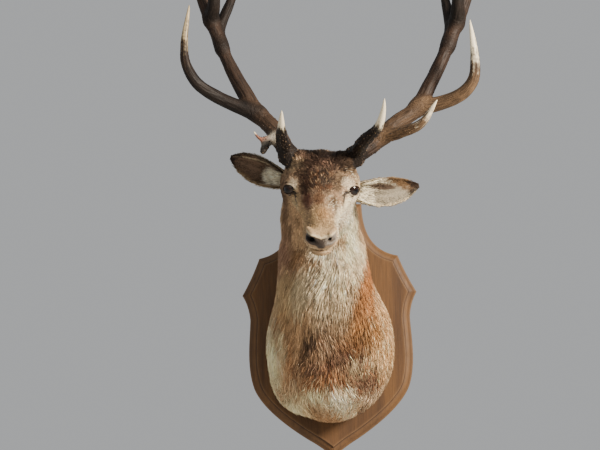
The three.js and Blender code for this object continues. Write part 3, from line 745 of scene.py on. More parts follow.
# Each patch: its frame, its middle and radii along that frame's axes, its colour and how strongly it covers.
# "head" is the head's own frame, "both" the same on both sides and "body" the mount's. Left and right are the
# stag's own.
MARKINGS = {
    # The neck and chest, from the throat down.
    "tan breast": ("body", (0, -290, -105), (130, 150, 75), "#a78565", 0.9),
    "tan breast, right": ("body", (-88, -270, -20), (46, 130, 95), "#af8d69", 0.85),
    "cream flank, right": ("body", (-148, -180, -50), (26, 150, 90), "#c4b796", 0.85),
    "cream flank, right, low": ("body", (-148, -150, -130), (34, 160, 80), "#ece1b5", 0.9),
    "mottled flank, left": ("body", (120, -190, 0), (32, 150, 80), "#c0986b", 0.85),
    "mottled flank, left, low": ("body", (118, -215, -95), (42, 150, 56), "#cfa676", 0.85),
    "russet edge, left": ("body", (153, -150, -75), (15, 150, 56), "#a0643a", 0.65),
    "grey throat, right": ("body", (-102, -283, 140), (30, 120, 70), "#92725e", 0.9),
    "olive throat, right": ("body", (-104, -281, 46), (36, 120, 62), "#b39b76", 0.85),
    "cream throat": ("body", (0, -335, 110), (58, 100, 60), "#f2e5c8", 0.95),
    "cream throat, mid": ("body", (-16, -341, 62), (52, 100, 48), "#dfd0b1", 0.9),
    "cream throat, low": ("body", (-2, -336, 8), (46, 100, 44), "#cab798", 0.85),
    "cream throat, right": ("body", (-68, -318, 38), (22, 100, 44), "#cebc9a", 0.75),
    # Under the jaw the throat is brown, and painted darker still as painted shade beneath the chin.
    "brown and shade under jaw": ("body", (-12, -345, 168), (30, 60, 14), "#8a6d4f", 0.75),
    "cream neck, left": ("body", (54, -307, 125), (36, 120, 70), "#e7d4b3", 0.95),
    "cream throat, high": ("body", (48, -330, 190), (34, 70, 70), "#ece7c6", 0.95),
    "brown throat, right": ("body", (-70, -315, 134), (22, 70, 24), "#947252", 0.85),
    "brown throat": ("body", (-40, -335, 116), (22, 70, 15), "#927353", 0.85),
    "russet streak, top": ("body", (88, -256, 104), (20, 120, 42), "#9a5f33", 0.9),
    "russet streak": ("body", (78, -280, 50), (23, 120, 46), "#9c673b", 0.95),
    "russet streak, mid": ("body", (70, -288, 0), (28, 120, 46), "#a17046", 0.95),
    "russet streak, low": ("body", (66, -290, -45), (38, 120, 34), "#966c43", 0.95),
    "russet streak, end": ("body", (40, -298, -78), (36, 110, 24), "#845b39", 0.9),
    "brown streak, right": ("body", (-112, -250, -36), (18, 110, 48), "#976d47", 0.55),
    "brown streak, right, low": ("body", (-98, -250, -108), (22, 110, 46), "#da9e6b", 0.35),
    "dark breast, right": ("body", (-54, -292, -76), (14, 90, 34), "#47382c", 0.85),
    "pale line, right": ("body", (-110, -262, -80), (15, 90, 62), "#dccaa4", 0.75),
    "dark breast, mid": ("body", (-42, -305, -58), (13, 90, 26), "#4f3e34", 0.85),
    "dark breast": ("body", (20, -294, -96), (30, 90, 24), "#51382e", 0.8),
    "dark breast, low": ("body", (-34, -283, -124), (32, 90, 18), "#5d3e36", 0.7),
    "brown breast, middle": ("body", (-16, -314, -46), (20, 60, 34), "#5f4634", 0.65),
    "brown breast, low": ("body", (-16, -296, -96), (20, 60, 32), "#75543f", 0.7),
    "pale quill": ("body", (-10, -312, -64), (9, 70, 22), "#b0977b", 0.6),
    "pale quill, low": ("body", (-24, -300, -92), (9, 70, 20), "#ab967a", 0.6),
    "brown breast, high": ("body", (16, -320, -20), (28, 60, 20), "#8a6b4c", 0.55),
    "dark curl, right": ("body", (-84, -253, -135), (15, 70, 10), "#745844", 0.6),
    "russet band": ("body", (-20, -271, -150), (62, 100, 15), "#a6744c", 0.85),
    "mottled breast, left": ("body", (70, -265, -116), (42, 100, 22), "#cfba95", 0.85),
    "dark band, left": ("body", (82, -230, -155), (52, 100, 17), "#623e30", 0.9),
    "cream whorl, right": ("body", (-40, -240, -186), (38, 100, 22), "#ece3bb", 0.9),
    "cream whorl": ("body", (16, -236, -194), (44, 100, 26), "#ece1c2", 0.95),
    "cream whorl, left": ("body", (84, -206, -186), (40, 100, 17), "#dabf9f", 0.9),
    "dark edge, left": ("body", (88, -150, -216), (40, 80, 14), "#5a3926", 0.85),
    "cream brisket, right": ("body", (-84, -158, -218), (40, 110, 38), "#ece2b9", 0.85),
    "russet fringe, right": ("body", (-54, -175, -224), (30, 100, 26), "#b48c62", 0.6),
    "russet fringe": ("body", (-9, -165, -238), (34, 100, 20), "#b88a5e", 0.6),
    "cream fringe": ("body", (34, -185, -226), (28, 90, 16), "#e6cba6", 0.8),
    # The head, from the jaw up to the forelock.
    "pale jaw": ("both", (90, 0, -95), (110, 60, 40), "#c5b393", 0.85),
    # The stag's right cheek is grey-tan, and it is painted darker than the left cheek partly as painted
    # shade.
    "grey cheek and shade, right": ("head", (-30, -80, -80), (90, 24, 100), "#705845", 0.9),
    "tan cheek, right": ("head", (10, -60, -62), (76, 26, 74), "#c7a680", 0.85),
    "cream cheek, left": ("head", (0, 72, -60), (95, 40, 62), "#efe0c6", 0.95),
    "cream muzzle, left": ("head", (120, 42, -36), (84, 22, 30), "#ecdfc0", 0.9),
    "tan muzzle, right": ("head", (120, -42, -36), (84, 20, 30), "#c2a47a", 0.85),
    "tan bridge": ("head", (178, 0, -4), (72, 36, 34), "#b2966f", 0.95),
    "orange bridge": ("head", (158, 4, 6), (34, 16, 20), "#a3784d", 0.5),
    "dark forehead": ("head", (22, 2, 38), (66, 46, 36), "#40342c", 0.95),
    "dark forehead, right": ("head", (40, -38, 24), (58, 20, 26), "#3f2b22", 0.9),
    "dark temple, right": ("head", (-12, -56, 36), (30, 15, 20), "#3d2b21", 0.85),
    # Painted shade: under the jaw and along the cheek's outer edge on the stag's right, where shade falls.
    "shaded jaw, right": ("head", (14, -54, -86), (60, 12, 20), "#59422f", 0.5),
    "painted shade, cheek edge, right": ("head", (-72, -97, -96), (50, 19, 74), "#402c1c", 0.85),
    "dark point": ("head", (84, -32, 4), (36, 14, 16), "#694436", 0.85),
    "brown point": ("head", (92, -6, 12), (30, 13, 16), "#694933", 0.85),
    "dark forelock": ("head", (-46, -6, 52), (44, 70, 40), "#6b5243", 0.95),
    "dark poll": ("head", (-88, -6, 48), (30, 60, 28), "#2c1f17", 0.9),
    "tan brow, left": ("head", (20, 42, 30), (34, 18, 22), "#77634d", 0.75),
    "speckled bridge, left": ("head", (92, 31, 2), (26, 14, 14), "#675239", 0.8),
    "tan temple, left": ("head", (-30, 66, 30), (42, 24, 28), "#735c42", 0.8),
    "pale temple, right": ("head", (-46, -60, 38), (26, 18, 20), "#b29a7a", 0.7),
    "cream temple, left": ("head", (-20, 78, 12), (30, 16, 16), "#bca884", 0.6),
    "dark crown, left": ("head", (-46, 54, 52), (38, 40, 32), "#1f150f", 0.9),
    "cream brow, left": ("head", (8, 63, 22), (24, 15, 13), "#d7c7ac", 0.85),
    "cream eye corner, left": ("head", (44, 58, 6), (26, 12, 12), "#e3d5bb", 0.85),
    "cream brow, right": ("head", (14, -66, 16), (24, 12, 15), "#b9aa91", 0.9),
    "tan eye corner, right": ("head", (42, -60, -2), (30, 11, 14), "#bca37d", 0.8),
    "cream under eye": ("head", (40, 62, -26), (44, 18, 20), "#ecddbe", 0.9),
    "tan under eye": ("head", (40, -62, -28), (40, 16, 20), "#cdb68f", 0.8),
    "pale lips": ("both", (196, 18, -58), (34, 26, 13), "#cbb28e", 0.9),
    "pale chin": ("both", (188, 0, -80), (36, 28, 14), "#a68961", 0.9),
}
# Flecks where the coat is tousled: frame, middle, radii, colour, the flecks' size and how much they cover.
FLECKS = {
    "dark curls": ("head", (-6, 0, 45), (84, 62, 45), "#3b2a20", 9, 0.34),
    "rusty curls": ("head", (34, -2, 33), (62, 36, 36), "#684a35", 11, 0.34),
    "pale curls": ("head", (44, -4, 30), (66, 46, 40), "#a98d6d", 4.5, 0.26),
    "flecks, left": ("head", (92, 31, 2), (30, 16, 16), "#412b21", 5, 0.4),
    "cream flecks": ("head", (98, 28, 4), (34, 20, 20), "#ebdec3", 5, 0.34),
    "pale temple hairs": ("head", (-20, 72, 24), (32, 20, 22), "#e9dcc4", 4, 0.22),
    "pale brow hairs": ("head", (-40, -60, 38), (40, 26, 26), "#bca17c", 6, 0.3),
    "grey throat strands": ("body", (-10, -330, 50), (90, 130, 110), "#7f6d59", 9, 0.24),
    "pale flank curls": ("body", (118, -200, -40), (52, 150, 130), "#dfcaa4", 8, 0.28),
    "rusty flank curls": ("body", (125, -200, -50), (52, 150, 130), "#996e42", 10, 0.24),
    "pale flank strands": ("body", (-140, -190, -90), (40, 150, 130), "#ddcfb1", 10, 0.28),
    "cream whorls": ("body", (20, -250, -175), (140, 130, 40), "#e1d0b1", 9, 0.22),
    "dark whorls": ("body", (20, -260, -130), (120, 130, 56), "#593b2d", 10, 0.22),
    "rusty whorls": ("body", (40, -250, -150), (130, 130, 60), "#95623e", 12, 0.22),
}
# The ears are told apart by how far along and across them a place is.
# The back's brown also serves as painted shade low inside the right ear, and the hollow's colour is painted
# shade in the left ear's cavity.
EAR_BACK_AND_SHADE, EAR_RIM, EAR_TUFT = "#6a5239", "#c9b998", "#e6dcc2"
EAR_CUP = {"left": "#928977", "right": "#645040"}
EAR_TIP, EAR_HOLLOW_SHADE = "#241812", "#4a3c30"


def tint(code):
    return np.array(linear(code)[:3])


def tinted(tone, code, cover):
    """Colours moved towards one of them, as far as the cover at each place."""
    return tone + (tint(code) - tone) * cover[:, None]


def over_pad(points):
    """How far below the upper edge of the nose's leather places are; the edge dips to the middle."""
    _, aside, up = both_sides(points).T
    return -27.5 + 0.36 * np.minimum(aside, 26) + 0.6 * ripple(points, 4, 21) - up


def painted(points):
    """The coat's colour at each point, as linear red, green and blue."""
    head = to_head(points)
    frames = {"head": head, "both": both_sides(points), "body": points}
    share = neck_share(points)[:, None]
    tone = tint(HEAD_COAT) * (1 - share) + tint(NECK_COAT) * share
    drawn = points * (1, 1, 0.3)
    body_rag = 0.22 * ripple(drawn, 26, 11) + 0.16 * ripple(drawn, 9, 12)
    head_rag = 0.16 * ripple(points, 16, 13) + 0.2 * ripple(points, 6, 14)
    for frame, middle, radii, colour, cover in MARKINGS.values():
        away = np.linalg.norm((frames[frame] - middle) / radii, axis=1)
        here = np.flatnonzero(away < 2)
        ragged = (body_rag if frame == "body" else head_rag)[here]
        tone[here] = tinted(tone[here], colour, cover * smooth(away[here] + ragged, 1.3, 0.6))
    for number, (frame, middle, radii, colour, size, cover) in enumerate(FLECKS.values()):
        away = np.linalg.norm((frames[frame] - middle) / radii, axis=1)
        here = np.flatnonzero(away < 1.3)
        lump = ripple(drawn[here] if frame == "body" else points[here], size, 200 + number)
        mask = 0.85 * smooth(lump, 1.0 - 2 * cover, 1.25 - 2 * cover) * smooth(away[here], 1.2, 0.6)
        tone[here] = tinted(tone[here], colour, mask)
    edge = smooth(abs(over_pad(points) + 1.6), 3.2, 1.2)
    edge *= smooth(head[:, 0], 196, 208) * smooth(abs(head[:, 1]), 40, 36)
    return tinted(tone, NOSE_EDGE, 0.85 * edge)


def nose_pad(points):
    """How much of each place is the bare leather of the nose, from the nostrils down to the lip."""
    ahead, aside, up = both_sides(points).T
    bottom = -45 + 8 * smooth(aside, 20, 36) - 10 * smooth(aside, 13, 4)
    inside = np.minimum.reduce([over_pad(points), up - bottom, 36 - aside, (ahead - 198) * 0.7])
    return smooth(inside, -0.6, 1.6)


# Each tear pit's dark line, on the left (1) and the right (-1) side: how far ahead, how far up and how wide.
TEAR_LINES = {
    1: [(20, 1, 3.6), (32, -4, 4), (48, -9, 4), (64, -13, 1)],
    -1: [(12, 3, 5.5), (24, -8, 4.6), (40, -20, 3.8), (60, -30, 1.4)],
}


def eye_rim(points):
    """How much of each place is the dark bare edge of a lid, or the tear pit at its inner corner."""
    head = both_sides(points)
    off = head - BALL_MIDDLE
    across, out, up = off @ ACROSS, off @ OUT, off[:, 2]
    line = np.maximum(up - lid_line(across, DARK_EDGES[0]), lid_line(across, DARK_EDGES[1]) - up)
    beyond = 2 * (np.linalg.norm(off, axis=1) - 27)
    back, front = EYE_CORNERS[0] - 2, EYE_CORNERS[1] + 2
    line = np.maximum.reduce([line, across - front, back - across, 4 - out, beyond])
    # The tear pit's dark line runs on from the inner corner, and hangs lower on the stag's right.
    pit, flat = np.full(len(points), 9.0), head * (1, 0, 1)
    for side, pins in TEAR_LINES.items():
        elsewhere = 9 * (to_head(points)[:, 1] * side < 26)
        for (a, b, thick), (c, d, thin) in zip(pins[:-1], pins[1:]):
            pit = np.minimum(pit, rod(flat, (a, 0, b), thick, (c, 0, d), thin) + elsewhere)
    return smooth(np.minimum(line, pit), 1.0, -0.8)


def ear_tone(side, along, across, outside, points):
    """An ear's colour: brown behind and at the tip, with a pale rim, pale tufts in its root, and painted
    shade in its hollow and low inside the right ear.
    """
    rag = 0.1 * ripple(points, 9, 31)
    above = across if side == "left" else -across
    layers = [(EAR_RIM, 0.8 * smooth(abs(above) + rag, 0.76, 0.92))]
    if side == "left":
        hollow = np.hypot((along - 0.45) / 0.22, (above - 0.28 + 0.5 * (along - 0.45)) / 0.2)
        layers += [
            (EAR_TUFT, 0.7 * smooth(above + rag, 0.35, 0.75)),
            (EAR_TUFT, 0.9 * smooth(along + rag, 0.34, 0.16)),
            # Painted shade where the ear's cavity lies.
            (EAR_HOLLOW_SHADE, smooth(hollow + rag, 1.15, 0.85)),
            (EAR_BACK_AND_SHADE, smooth(along + 0.3 * above + rag, 0.68, 0.86)),
        ]
    else:
        root = np.hypot((along - 0.2) / 0.2, (above + 0.2) / 0.6)
        rib = smooth(abs(above - 0.6 + 0.15 * along), 0.07, 0.03)
        layers += [
            (EAR_TUFT, 0.95 * smooth(root + rag, 1.2, 0.8)),
            (EAR_TIP, 0.85 * smooth(above + rag, 0.7, 0.8)),
            (EAR_RIM, 0.6 * rib * smooth(along, 0.2, 0.35)),
            # Painted shade along the inside of the right ear's lower edge.
            (EAR_BACK_AND_SHADE, 0.7 * smooth(-above + rag, 0.6, 0.8)),
        ]
    layers += [
        (EAR_BACK_AND_SHADE, outside),
        (EAR_RIM, outside * smooth(abs(across), 0.9, 1.0) * 0.6),
        (EAR_TIP, 0.9 * smooth(along + rag, 0.79, 0.95)),
    ]
    tone = np.tile(tint(EAR_CUP[side]), (len(points), 1))
    for colour, cover in layers:
        tone = tinted(tone, colour, cover)
    return tone


# The short flat hair of the face, and the hide between the tufts, show as fine streaks and pits in the skin.
hide, tree, shader = finish("tanned_deer_hide", Specular_IOR_Level=0.2)
where = node(tree, "ShaderNodeTexCoord").outputs["Object"]
bare, fine = stored(tree, "bare"), noise(tree, where, 420.0, 3.0)
speck = ranged(tree, fine, 0.72, 1.25, 0.3, 0.7)
flecked = mixed(tree, 1.0, stored(tree, "tone", "Color"), speck, "MULTIPLY")
tree.links.new(flecked, shader.inputs["Base Color"])
tree.links.new(ranged(tree, bare, 0.72, 0.34), shader.inputs["Roughness"])
pebbles = node(tree, "ShaderNodeTexVoronoi", {"Vector": where, "Scale": 520.0}).outputs["Distance"]
height = node(tree, "ShaderNodeMix", {0: bare, 2: fine, 3: pebbles}).outputs[0]
relief = node(tree, "ShaderNodeBump", {"Strength": 0.5, "Distance": 0.0012, "Height": height}).outputs[0]
tree.links.new(relief, shader.inputs["Normal"])

NOSE_LEATHER, NOSE_WORN, LID_EDGE, NOSTRIL_AND_SHADE = "#39302a", "#857b70", "#1c1511", "#1a1310"
tone, bare, lid_edges = painted(skin_points) * 0.8, nose_pad(skin_points), eye_rim(skin_points)
worn = bare * smooth(to_head(skin_points)[:, 1] + 5 * ripple(skin_points, 3, 22), 4, 16) * 0.8
for colour, cover in ((NOSE_LEATHER, bare), (NOSE_WORN, worn), (LID_EDGE, 0.94 * lid_edges)):
    tone = tinted(tone, colour, cover)
# Deep in the nostrils and the line of the mouth the skin is painted nearly black: its own dark skin, deepened
# as painted shade in the hollows and most of all on the stag's right.
sunk = smooth(form_height(skin_points), -2.2, -4.5) * (1 - neck_share(skin_points))
sunk *= 1 - 0.5 * smooth(to_head(skin_points)[:, 1], 4, 14)
sunk *= smooth(both_sides(skin_points)[:, 0], 96, 112)
all_points, all_faces = [skin_points], [skin_faces]
tones, bares = [tinted(tone, NOSTRIL_AND_SHADE, sunk)], [np.maximum(bare, lid_edges)]
for side, (points, walls) in ears.items():
    outside = smooth(np.sin(ear_turn), -0.05, 0.15)
    tones.append(ear_tone(side, ear_along, np.cos(ear_turn), outside, points) * 0.85)
    bares.append(np.zeros(len(points)))
    all_faces.append(walls + sum(len(p) for p in all_points))
    all_points.append(points)
piece(
    "skin",
    np.vstack(all_points),
    np.vstack(all_faces),
    hide,
    "coat",
    ["head", "neck", "brisket", "ear_left", "ear_right"],
    tone=np.vstack(tones),
    bare=np.concatenate(bares),
)

# ---------------------------------------------------------------- coat
# The stag's winter coat, in tapering tufts rooted in the skin: short on the face, tousled on the brow, and
# long and ragged from the throat down to the brisket. Each lies along the body, and tips gather in clumps.
coat_hair, tree, shader = finish("deer_hair", Roughness=0.68, Specular_IOR_Level=0.18)
tree.links.new(stored(tree, "tone", "Color"), shader.inputs["Base Color"])

TUFTS_ON_NECK, TUFTS_ON_HEAD, TUFTS_ON_EARS = 60_000, 30_000, 9_000
NECK_CLUMPS, HEAD_CLUMPS, EAR_CLUMPS = 11, 7, 6
# The shares of a tuft's length at which it has a cross section or its tip.
LONG_STATIONS, SHORT_STATIONS = (0, 0.3, 0.68, 1), (0, 0.45, 1)


def scattered(points, faces, wanted, count, seed):
    """Roots spread over a mesh of four-sided faces, as thickly as wanted at each face."""
    rng = np.random.default_rng(seed)
    corners = points[faces]
    area = np.linalg.norm(np.cross(corners[:, 2] - corners[:, 0], corners[:, 3] - corners[:, 1]), axis=1) / 2
    odds = np.cumsum(area * wanted(corners.mean(axis=1)))
    spots = (np.arange(count) + rng.random(count)) / count * odds[-1]
    chosen = corners[np.searchsorted(odds, spots)]
    u, v = rng.random((2, count, 1))
    low = chosen[:, 0] * (1 - u) + chosen[:, 1] * u
    high = chosen[:, 3] * (1 - u) + chosen[:, 2] * u
    return low * (1 - v) + high * v


def lie_of_coat(points, normals):
    """Which way the hair lies: back over the face, down the neck, and in whorls on the brow and brisket."""
    head = both_sides(points)
    share = neck_share(points)[:, None]
    back = HEAD_TURN @ np.array([0.0, 1.0, 0.0])
    aside = HEAD_TURN[:, 0] * np.clip(to_head(points)[:, 1] / 25, -1, 1)[:, None]
    cheek = smooth(head[:, 2], -10, -60)[:, None] * smooth(head[:, 0], 150, 40)[:, None]
    over_face = back + aside * 0.35 * (1 - cheek) + np.array([0, 0, -0.9]) * cheek
    # From the throat down the hair sweeps across to the stag's right, and again along its russet streak.
    sweep = 0.45 * np.exp(-(((points[:, 0] - 10) / 70) ** 2) - ((points[:, 2] - 90) / 75) ** 2)
    sweep += 0.35 * np.exp(-(((points[:, 0] - 72) / 45) ** 2) - ((points[:, 2] + 5) / 90) ** 2)
    drift = (points[:, 0] + 15) / 420 - sweep
    down_neck = np.array([0, 0.28, -1.0]) + np.array([1.0, 0, 0]) * drift[:, None]
    flow = over_face * (1 - share) + down_neck * share
    flow = unit(flow - normals * (flow * normals).sum(axis=1)[:, None])
    brow = about(head, (-35, 0, 45), 62)
    low = smooth(points[:, 2], 20, -120) * share[:, 0]
    swirl = ripple(points, 60, 61) * (0.12 + 0.5 * low + 0.9 * brow)
    swirl += ripple(points, 22, 62) * (0.06 + 0.32 * low + 0.8 * brow)
    swirl += np.random.default_rng(63).normal(0, 0.06, len(points)) * (1 + 2 * low + 3 * brow)
    return flow * np.cos(swirl)[:, None] + np.cross(normals, flow) * np.sin(swirl)[:, None]


def tuft_size(points):
    """The length, width and waviness of the hair at each place, in millimetres."""
    head = both_sides(points)
    brow = about(head, (-45, 0, 45), 58)
    jaw = smooth(head[:, 2], -50, -95) * smooth(head[:, 0], 160, 20)
    temple = smooth(head[:, 0], -20, -80)
    long = 5.5 + 17 * brow + 10 * jaw + 9 * temple
    wide = 1.05 + 1.3 * brow + 0.6 * jaw + 0.5 * temple
    on_head = np.array([long, wide, 0.4 + 3.5 * brow])
    lower = smooth(points[:, 2], 170, -80)
    on_neck = np.array([38 + 18 * lower, 1.5 + 0.6 * lower, 0.5 + 3.0 * smooth(points[:, 2], 20, -120)])
    return on_head + (on_neck - on_head) * neck_share(points)


def gathered(roots, size, seed):
    """The middle of the clump that each root belongs to, in clumps of about a size."""
    rng = np.random.default_rng(seed)
    drift = np.column_stack([ripple(roots, size * 2.2, seed + k) for k in range(3)]) * size * 0.4
    cell = np.floor((roots + drift) / size).astype(int)
    _, number = np.unique(cell, axis=0, return_inverse=True)
    number = number.ravel()
    met = np.bincount(number)
    middles = np.column_stack([np.bincount(number, roots[:, k]) / met for k in range(3)])
    return middles[number], rng.normal(0, 1, len(met))[number]


# A tuft's cross section is a low triangle, widest a little way along it.
TUFT_CORNERS, TUFT_HALF_WIDTHS = ((-1, -0.3), (1, -0.3), (0, 0.75)), (0.34, 0.5, 0.396)


def tufts(roots, normals, lie, long, wide, wave, rise, pull, clump, seed, stations, lay):
    """Points and triangles of closed three-sided tufts, with each point's share of its tuft's length."""
    rng = np.random.default_rng(seed)
    count = len(roots)
    long = long * rng.uniform(0.7, 1.2, count)
    wide = wide * rng.uniform(0.7, 1.35, count)
    reach = rise * rng.uniform(0.45, 1.05, count)
    phase, side = rng.uniform(0, 6.3, count), np.cross(normals, lie)
    spine = []
    for t in stations:
        at = roots + lie * (long * t)[:, None] + side * (wave * np.sin(phase + 4.5 * t) * t)[:, None]
        at = at + (clump - roots) * np.reshape(pull * t**1.3, (-1, 1))
        height = reach * (1 - (1 - t) ** 1.7) - 0.6 * (t == 0)
        spine.append(lay(at, normals, height))
    rows = []
    for k in range(len(stations) - 1):
        along = unit(spine[k + 1] - spine[max(k - 1, 0)])
        out = unit(normals - along * (normals * along).sum(axis=1)[:, None])
        across = np.cross(out, along)
        half = (wide * TUFT_HALF_WIDTHS[k])[:, None]
        corners = [spine[k] + across * (half * x) + out * (half * y) for x, y in TUFT_CORNERS]
        rows.append(np.stack(corners, 1))
    points = np.concatenate([*rows, spine[-1][:, None]], axis=1)
    per = points.shape[1]
    faces = [(0, 2, 1)]
    for k in range(len(stations) - 2):
        for i in range(3):
            a, b = 3 * k + i, 3 * k + (i + 1) % 3
            faces += [(a, b, b + 3), (a, b + 3, a + 3)]
    last = 3 * (len(stations) - 2)
    faces += [(last + i, last + (i + 1) % 3, per - 1) for i in range(3)]
    faces = np.array(faces)[None] + (np.arange(count) * per)[:, None, None]
    shares = np.repeat(stations, [3] * (len(stations) - 1) + [1])
    return points, faces, shares


def nearest_on(line, radii, points):
    """For each point: its height over a tapering line, the share along the line, and the foot on it."""
    best = np.full(len(points), 1e9)
    share, foot = np.zeros(len(points)), np.zeros((len(points), 3))
    for i, (a, b) in enumerate(zip(line[:-1], line[1:])):
        run = b - a
        t = np.clip((points - a) @ run / (run @ run), 0, 1)
        at = a + t[:, None] * run
        away = np.linalg.norm(points - at, axis=1) - (radii[i] + (radii[i + 1] - radii[i]) * t)
        closer = away < best
        best[closer], foot[closer] = away[closer], at[closer]
        share[closer] = ((i + t) / (len(line) - 1))[closer]
    return best, share, foot


SPINE = np.array(
    [(-3, 60, -60), (-4, -110, -20), (-12, -215, 110), (-22, -305, 245), *from_head([-60, 206], 0, -30)]
)


def unwrapped(points):
    """Where places fall on the skin unrolled about the line through the chest, neck and head."""
    _, share, foot = nearest_on(SPINE, np.zeros(len(SPINE)), points)
    off = points - foot
    return np.column_stack([np.arctan2(off[:, 0], off[:, 2] - off[:, 1]) / (2 * math.pi), share])


def coat_piece(name, points, faces, shares, tone, unroll):
    """One named part of the coat, with a small patch for each tuft on the unrolled skin."""
    corners, walls = points.reshape(-1, 3), faces.reshape(-1, 3)
    thing = piece(name, corners, walls, coat_hair, "coat", tone=tone.reshape(-1, 3))
    spot = unroll - unroll.min(axis=0)
    spot = 0.01 + 0.975 * spot / spot.max(axis=0)
    per = points.shape[1]
    corner = np.tile([(-0.0015, 0), (0.0015, 0), (0, 0)], (len(shares) // 3, 1))
    corner = np.vstack([corner, [(0, 0)]]) + np.column_stack([np.zeros(per), shares * 0.003])
    laid = (spot[:, None] + corner[None]).reshape(-1, 2)
    layer = thing.data.uv_layers.new(name="OFBake")
    layer.data.foreach_set("uv", laid[faces.ravel()].astype(np.float32).ravel())


def coat_parts(names, order, roots, points, faces, shares, tone):
    """Parts of the coat with equal numbers of tufts, taken in an order."""
    unroll = unwrapped(roots)
    for name, part in zip(names, np.array_split(order, len(names))):
        coat_piece(name, points[part], faces[: len(part)], shares, tone[part], unroll[part])


def hair_tones(colour, shares, clump_tone, seed, contrast):
    """Darker at the root and paler at the tip, with each clump and each tuft a little lighter or darker."""
    rng = np.random.default_rng(seed)
    single = rng.normal(0, 1, len(colour))
    value = np.exp(contrast * (0.2 * clump_tone + 0.16 * single))
    tip = 0.84 + 0.34 * shares**1.5
    return np.clip(colour[:, None] * value[:, None, None] * tip[None, :, None], 0, 0.95)


def near_skin(at, _, height):
    """Places moved to a height above the skin."""
    slope = slope_of(form_height, at)
    value = form_height(at)
    return at + slope * ((height - value) / (slope**2).sum(axis=1).clip(0.3))[:, None]


# The long coat, from the nape and throat down over the chest.
def thick_on_neck(points):
    edge = smooth(points[:, 1], BOARD_FACE + 0.1, BOARD_FACE - 3)
    return smooth(neck_share(points), 0.05, 0.4) * (0.6 + 0.4 * smooth(-points[:, 1], 100, 260)) * edge


roots = scattered(skin_points, skin_faces, thick_on_neck, TUFTS_ON_NECK, 71)
normals = unit(slope_of(form_height, roots))
long, wide, wave = tuft_size(roots)
# Near the board the hair is shorter, and it stops at the wood.
long *= 0.45 + 0.55 * np.clip((BOARD_FACE - roots[:, 1]) / 60, 0, 1)
clump, clump_tone = gathered(roots, NECK_CLUMPS, 72)
pull = 0.4 + 0.3 * smooth(roots[:, 2], 60, -100) + 0.12 * ripple(roots, 40, 73)
lie = lie_of_coat(roots, normals)
points, faces, shares = tufts(
    roots, normals, lie, long, wide, wave, coat_depth(roots), pull, clump, 74, LONG_STATIONS, near_skin
)
points[..., 1] = np.minimum(points[..., 1], BOARD_FACE - 0.4)
# Each tuft has the colour of the place that its outer half lies over.
strayed = roots + lie * long[:, None] * np.random.default_rng(75).uniform(0.25, 0.9, (len(roots), 1))
tone = hair_tones(painted(strayed), shares, clump_tone, 76, 1.05)
parts = ("coat_nape", "coat_throat", "coat_neck", "coat_breast", "coat_chest", "coat_brisket")
coat_parts(parts, np.argsort(-roots[:, 2]), roots, points, faces, shares, tone)


# The short coat of the head, left off the nose's leather, the lids and the line of the mouth.
def thick_on_head(points):
    head = both_sides(points)
    ahead, _, up = head.T
    bare = np.maximum(nose_pad(points), eye_rim(points))
    brow = about(head, (-45, 0, 45), 60)
    cover = (1 - bare) * (1 - smooth(neck_share(points), 0.1, 0.5)) * (1 - 0.75 * smooth(ahead, 190, 225))
    mouth = smooth(abs(up + 63), 1.5, 4) + smooth(ahead, 112, 100)
    return cover * (0.75 + 1.1 * brow) * np.clip(mouth, 0, 1) * (form_height(points) > -2)


roots = scattered(skin_points, skin_faces, thick_on_head, TUFTS_ON_HEAD, 81)
normals = unit(slope_of(form_height, roots))
long, wide, wave = tuft_size(roots)
clump, clump_tone = gathered(roots, HEAD_CLUMPS, 82)
depth = coat_depth(roots)
rise = depth * (0.9 - 0.4 * smooth(depth, 6, 15)) + 0.3 + 0.1 * long * smooth(long, 9, 18)
lie = lie_of_coat(roots, normals)
points, faces, shares = tufts(
    roots, normals, lie, long, wide, wave, rise, 0.45, clump, 83, SHORT_STATIONS, near_skin
)
jitter = np.random.default_rng(85).normal(0, 1.5, roots.shape) + lie * long[:, None] * 0.5
tone = hair_tones(painted(roots + jitter), shares, clump_tone, 84, 1.0)
order = np.argsort(to_head(roots)[:, 0])
coat_parts(("coat_brow", "coat_muzzle"), order, roots, points, faces, shares, tone)


def close_to_ear(at, normals, height):
    """Places at a height over the ear."""
    return at + normals * height[:, None]


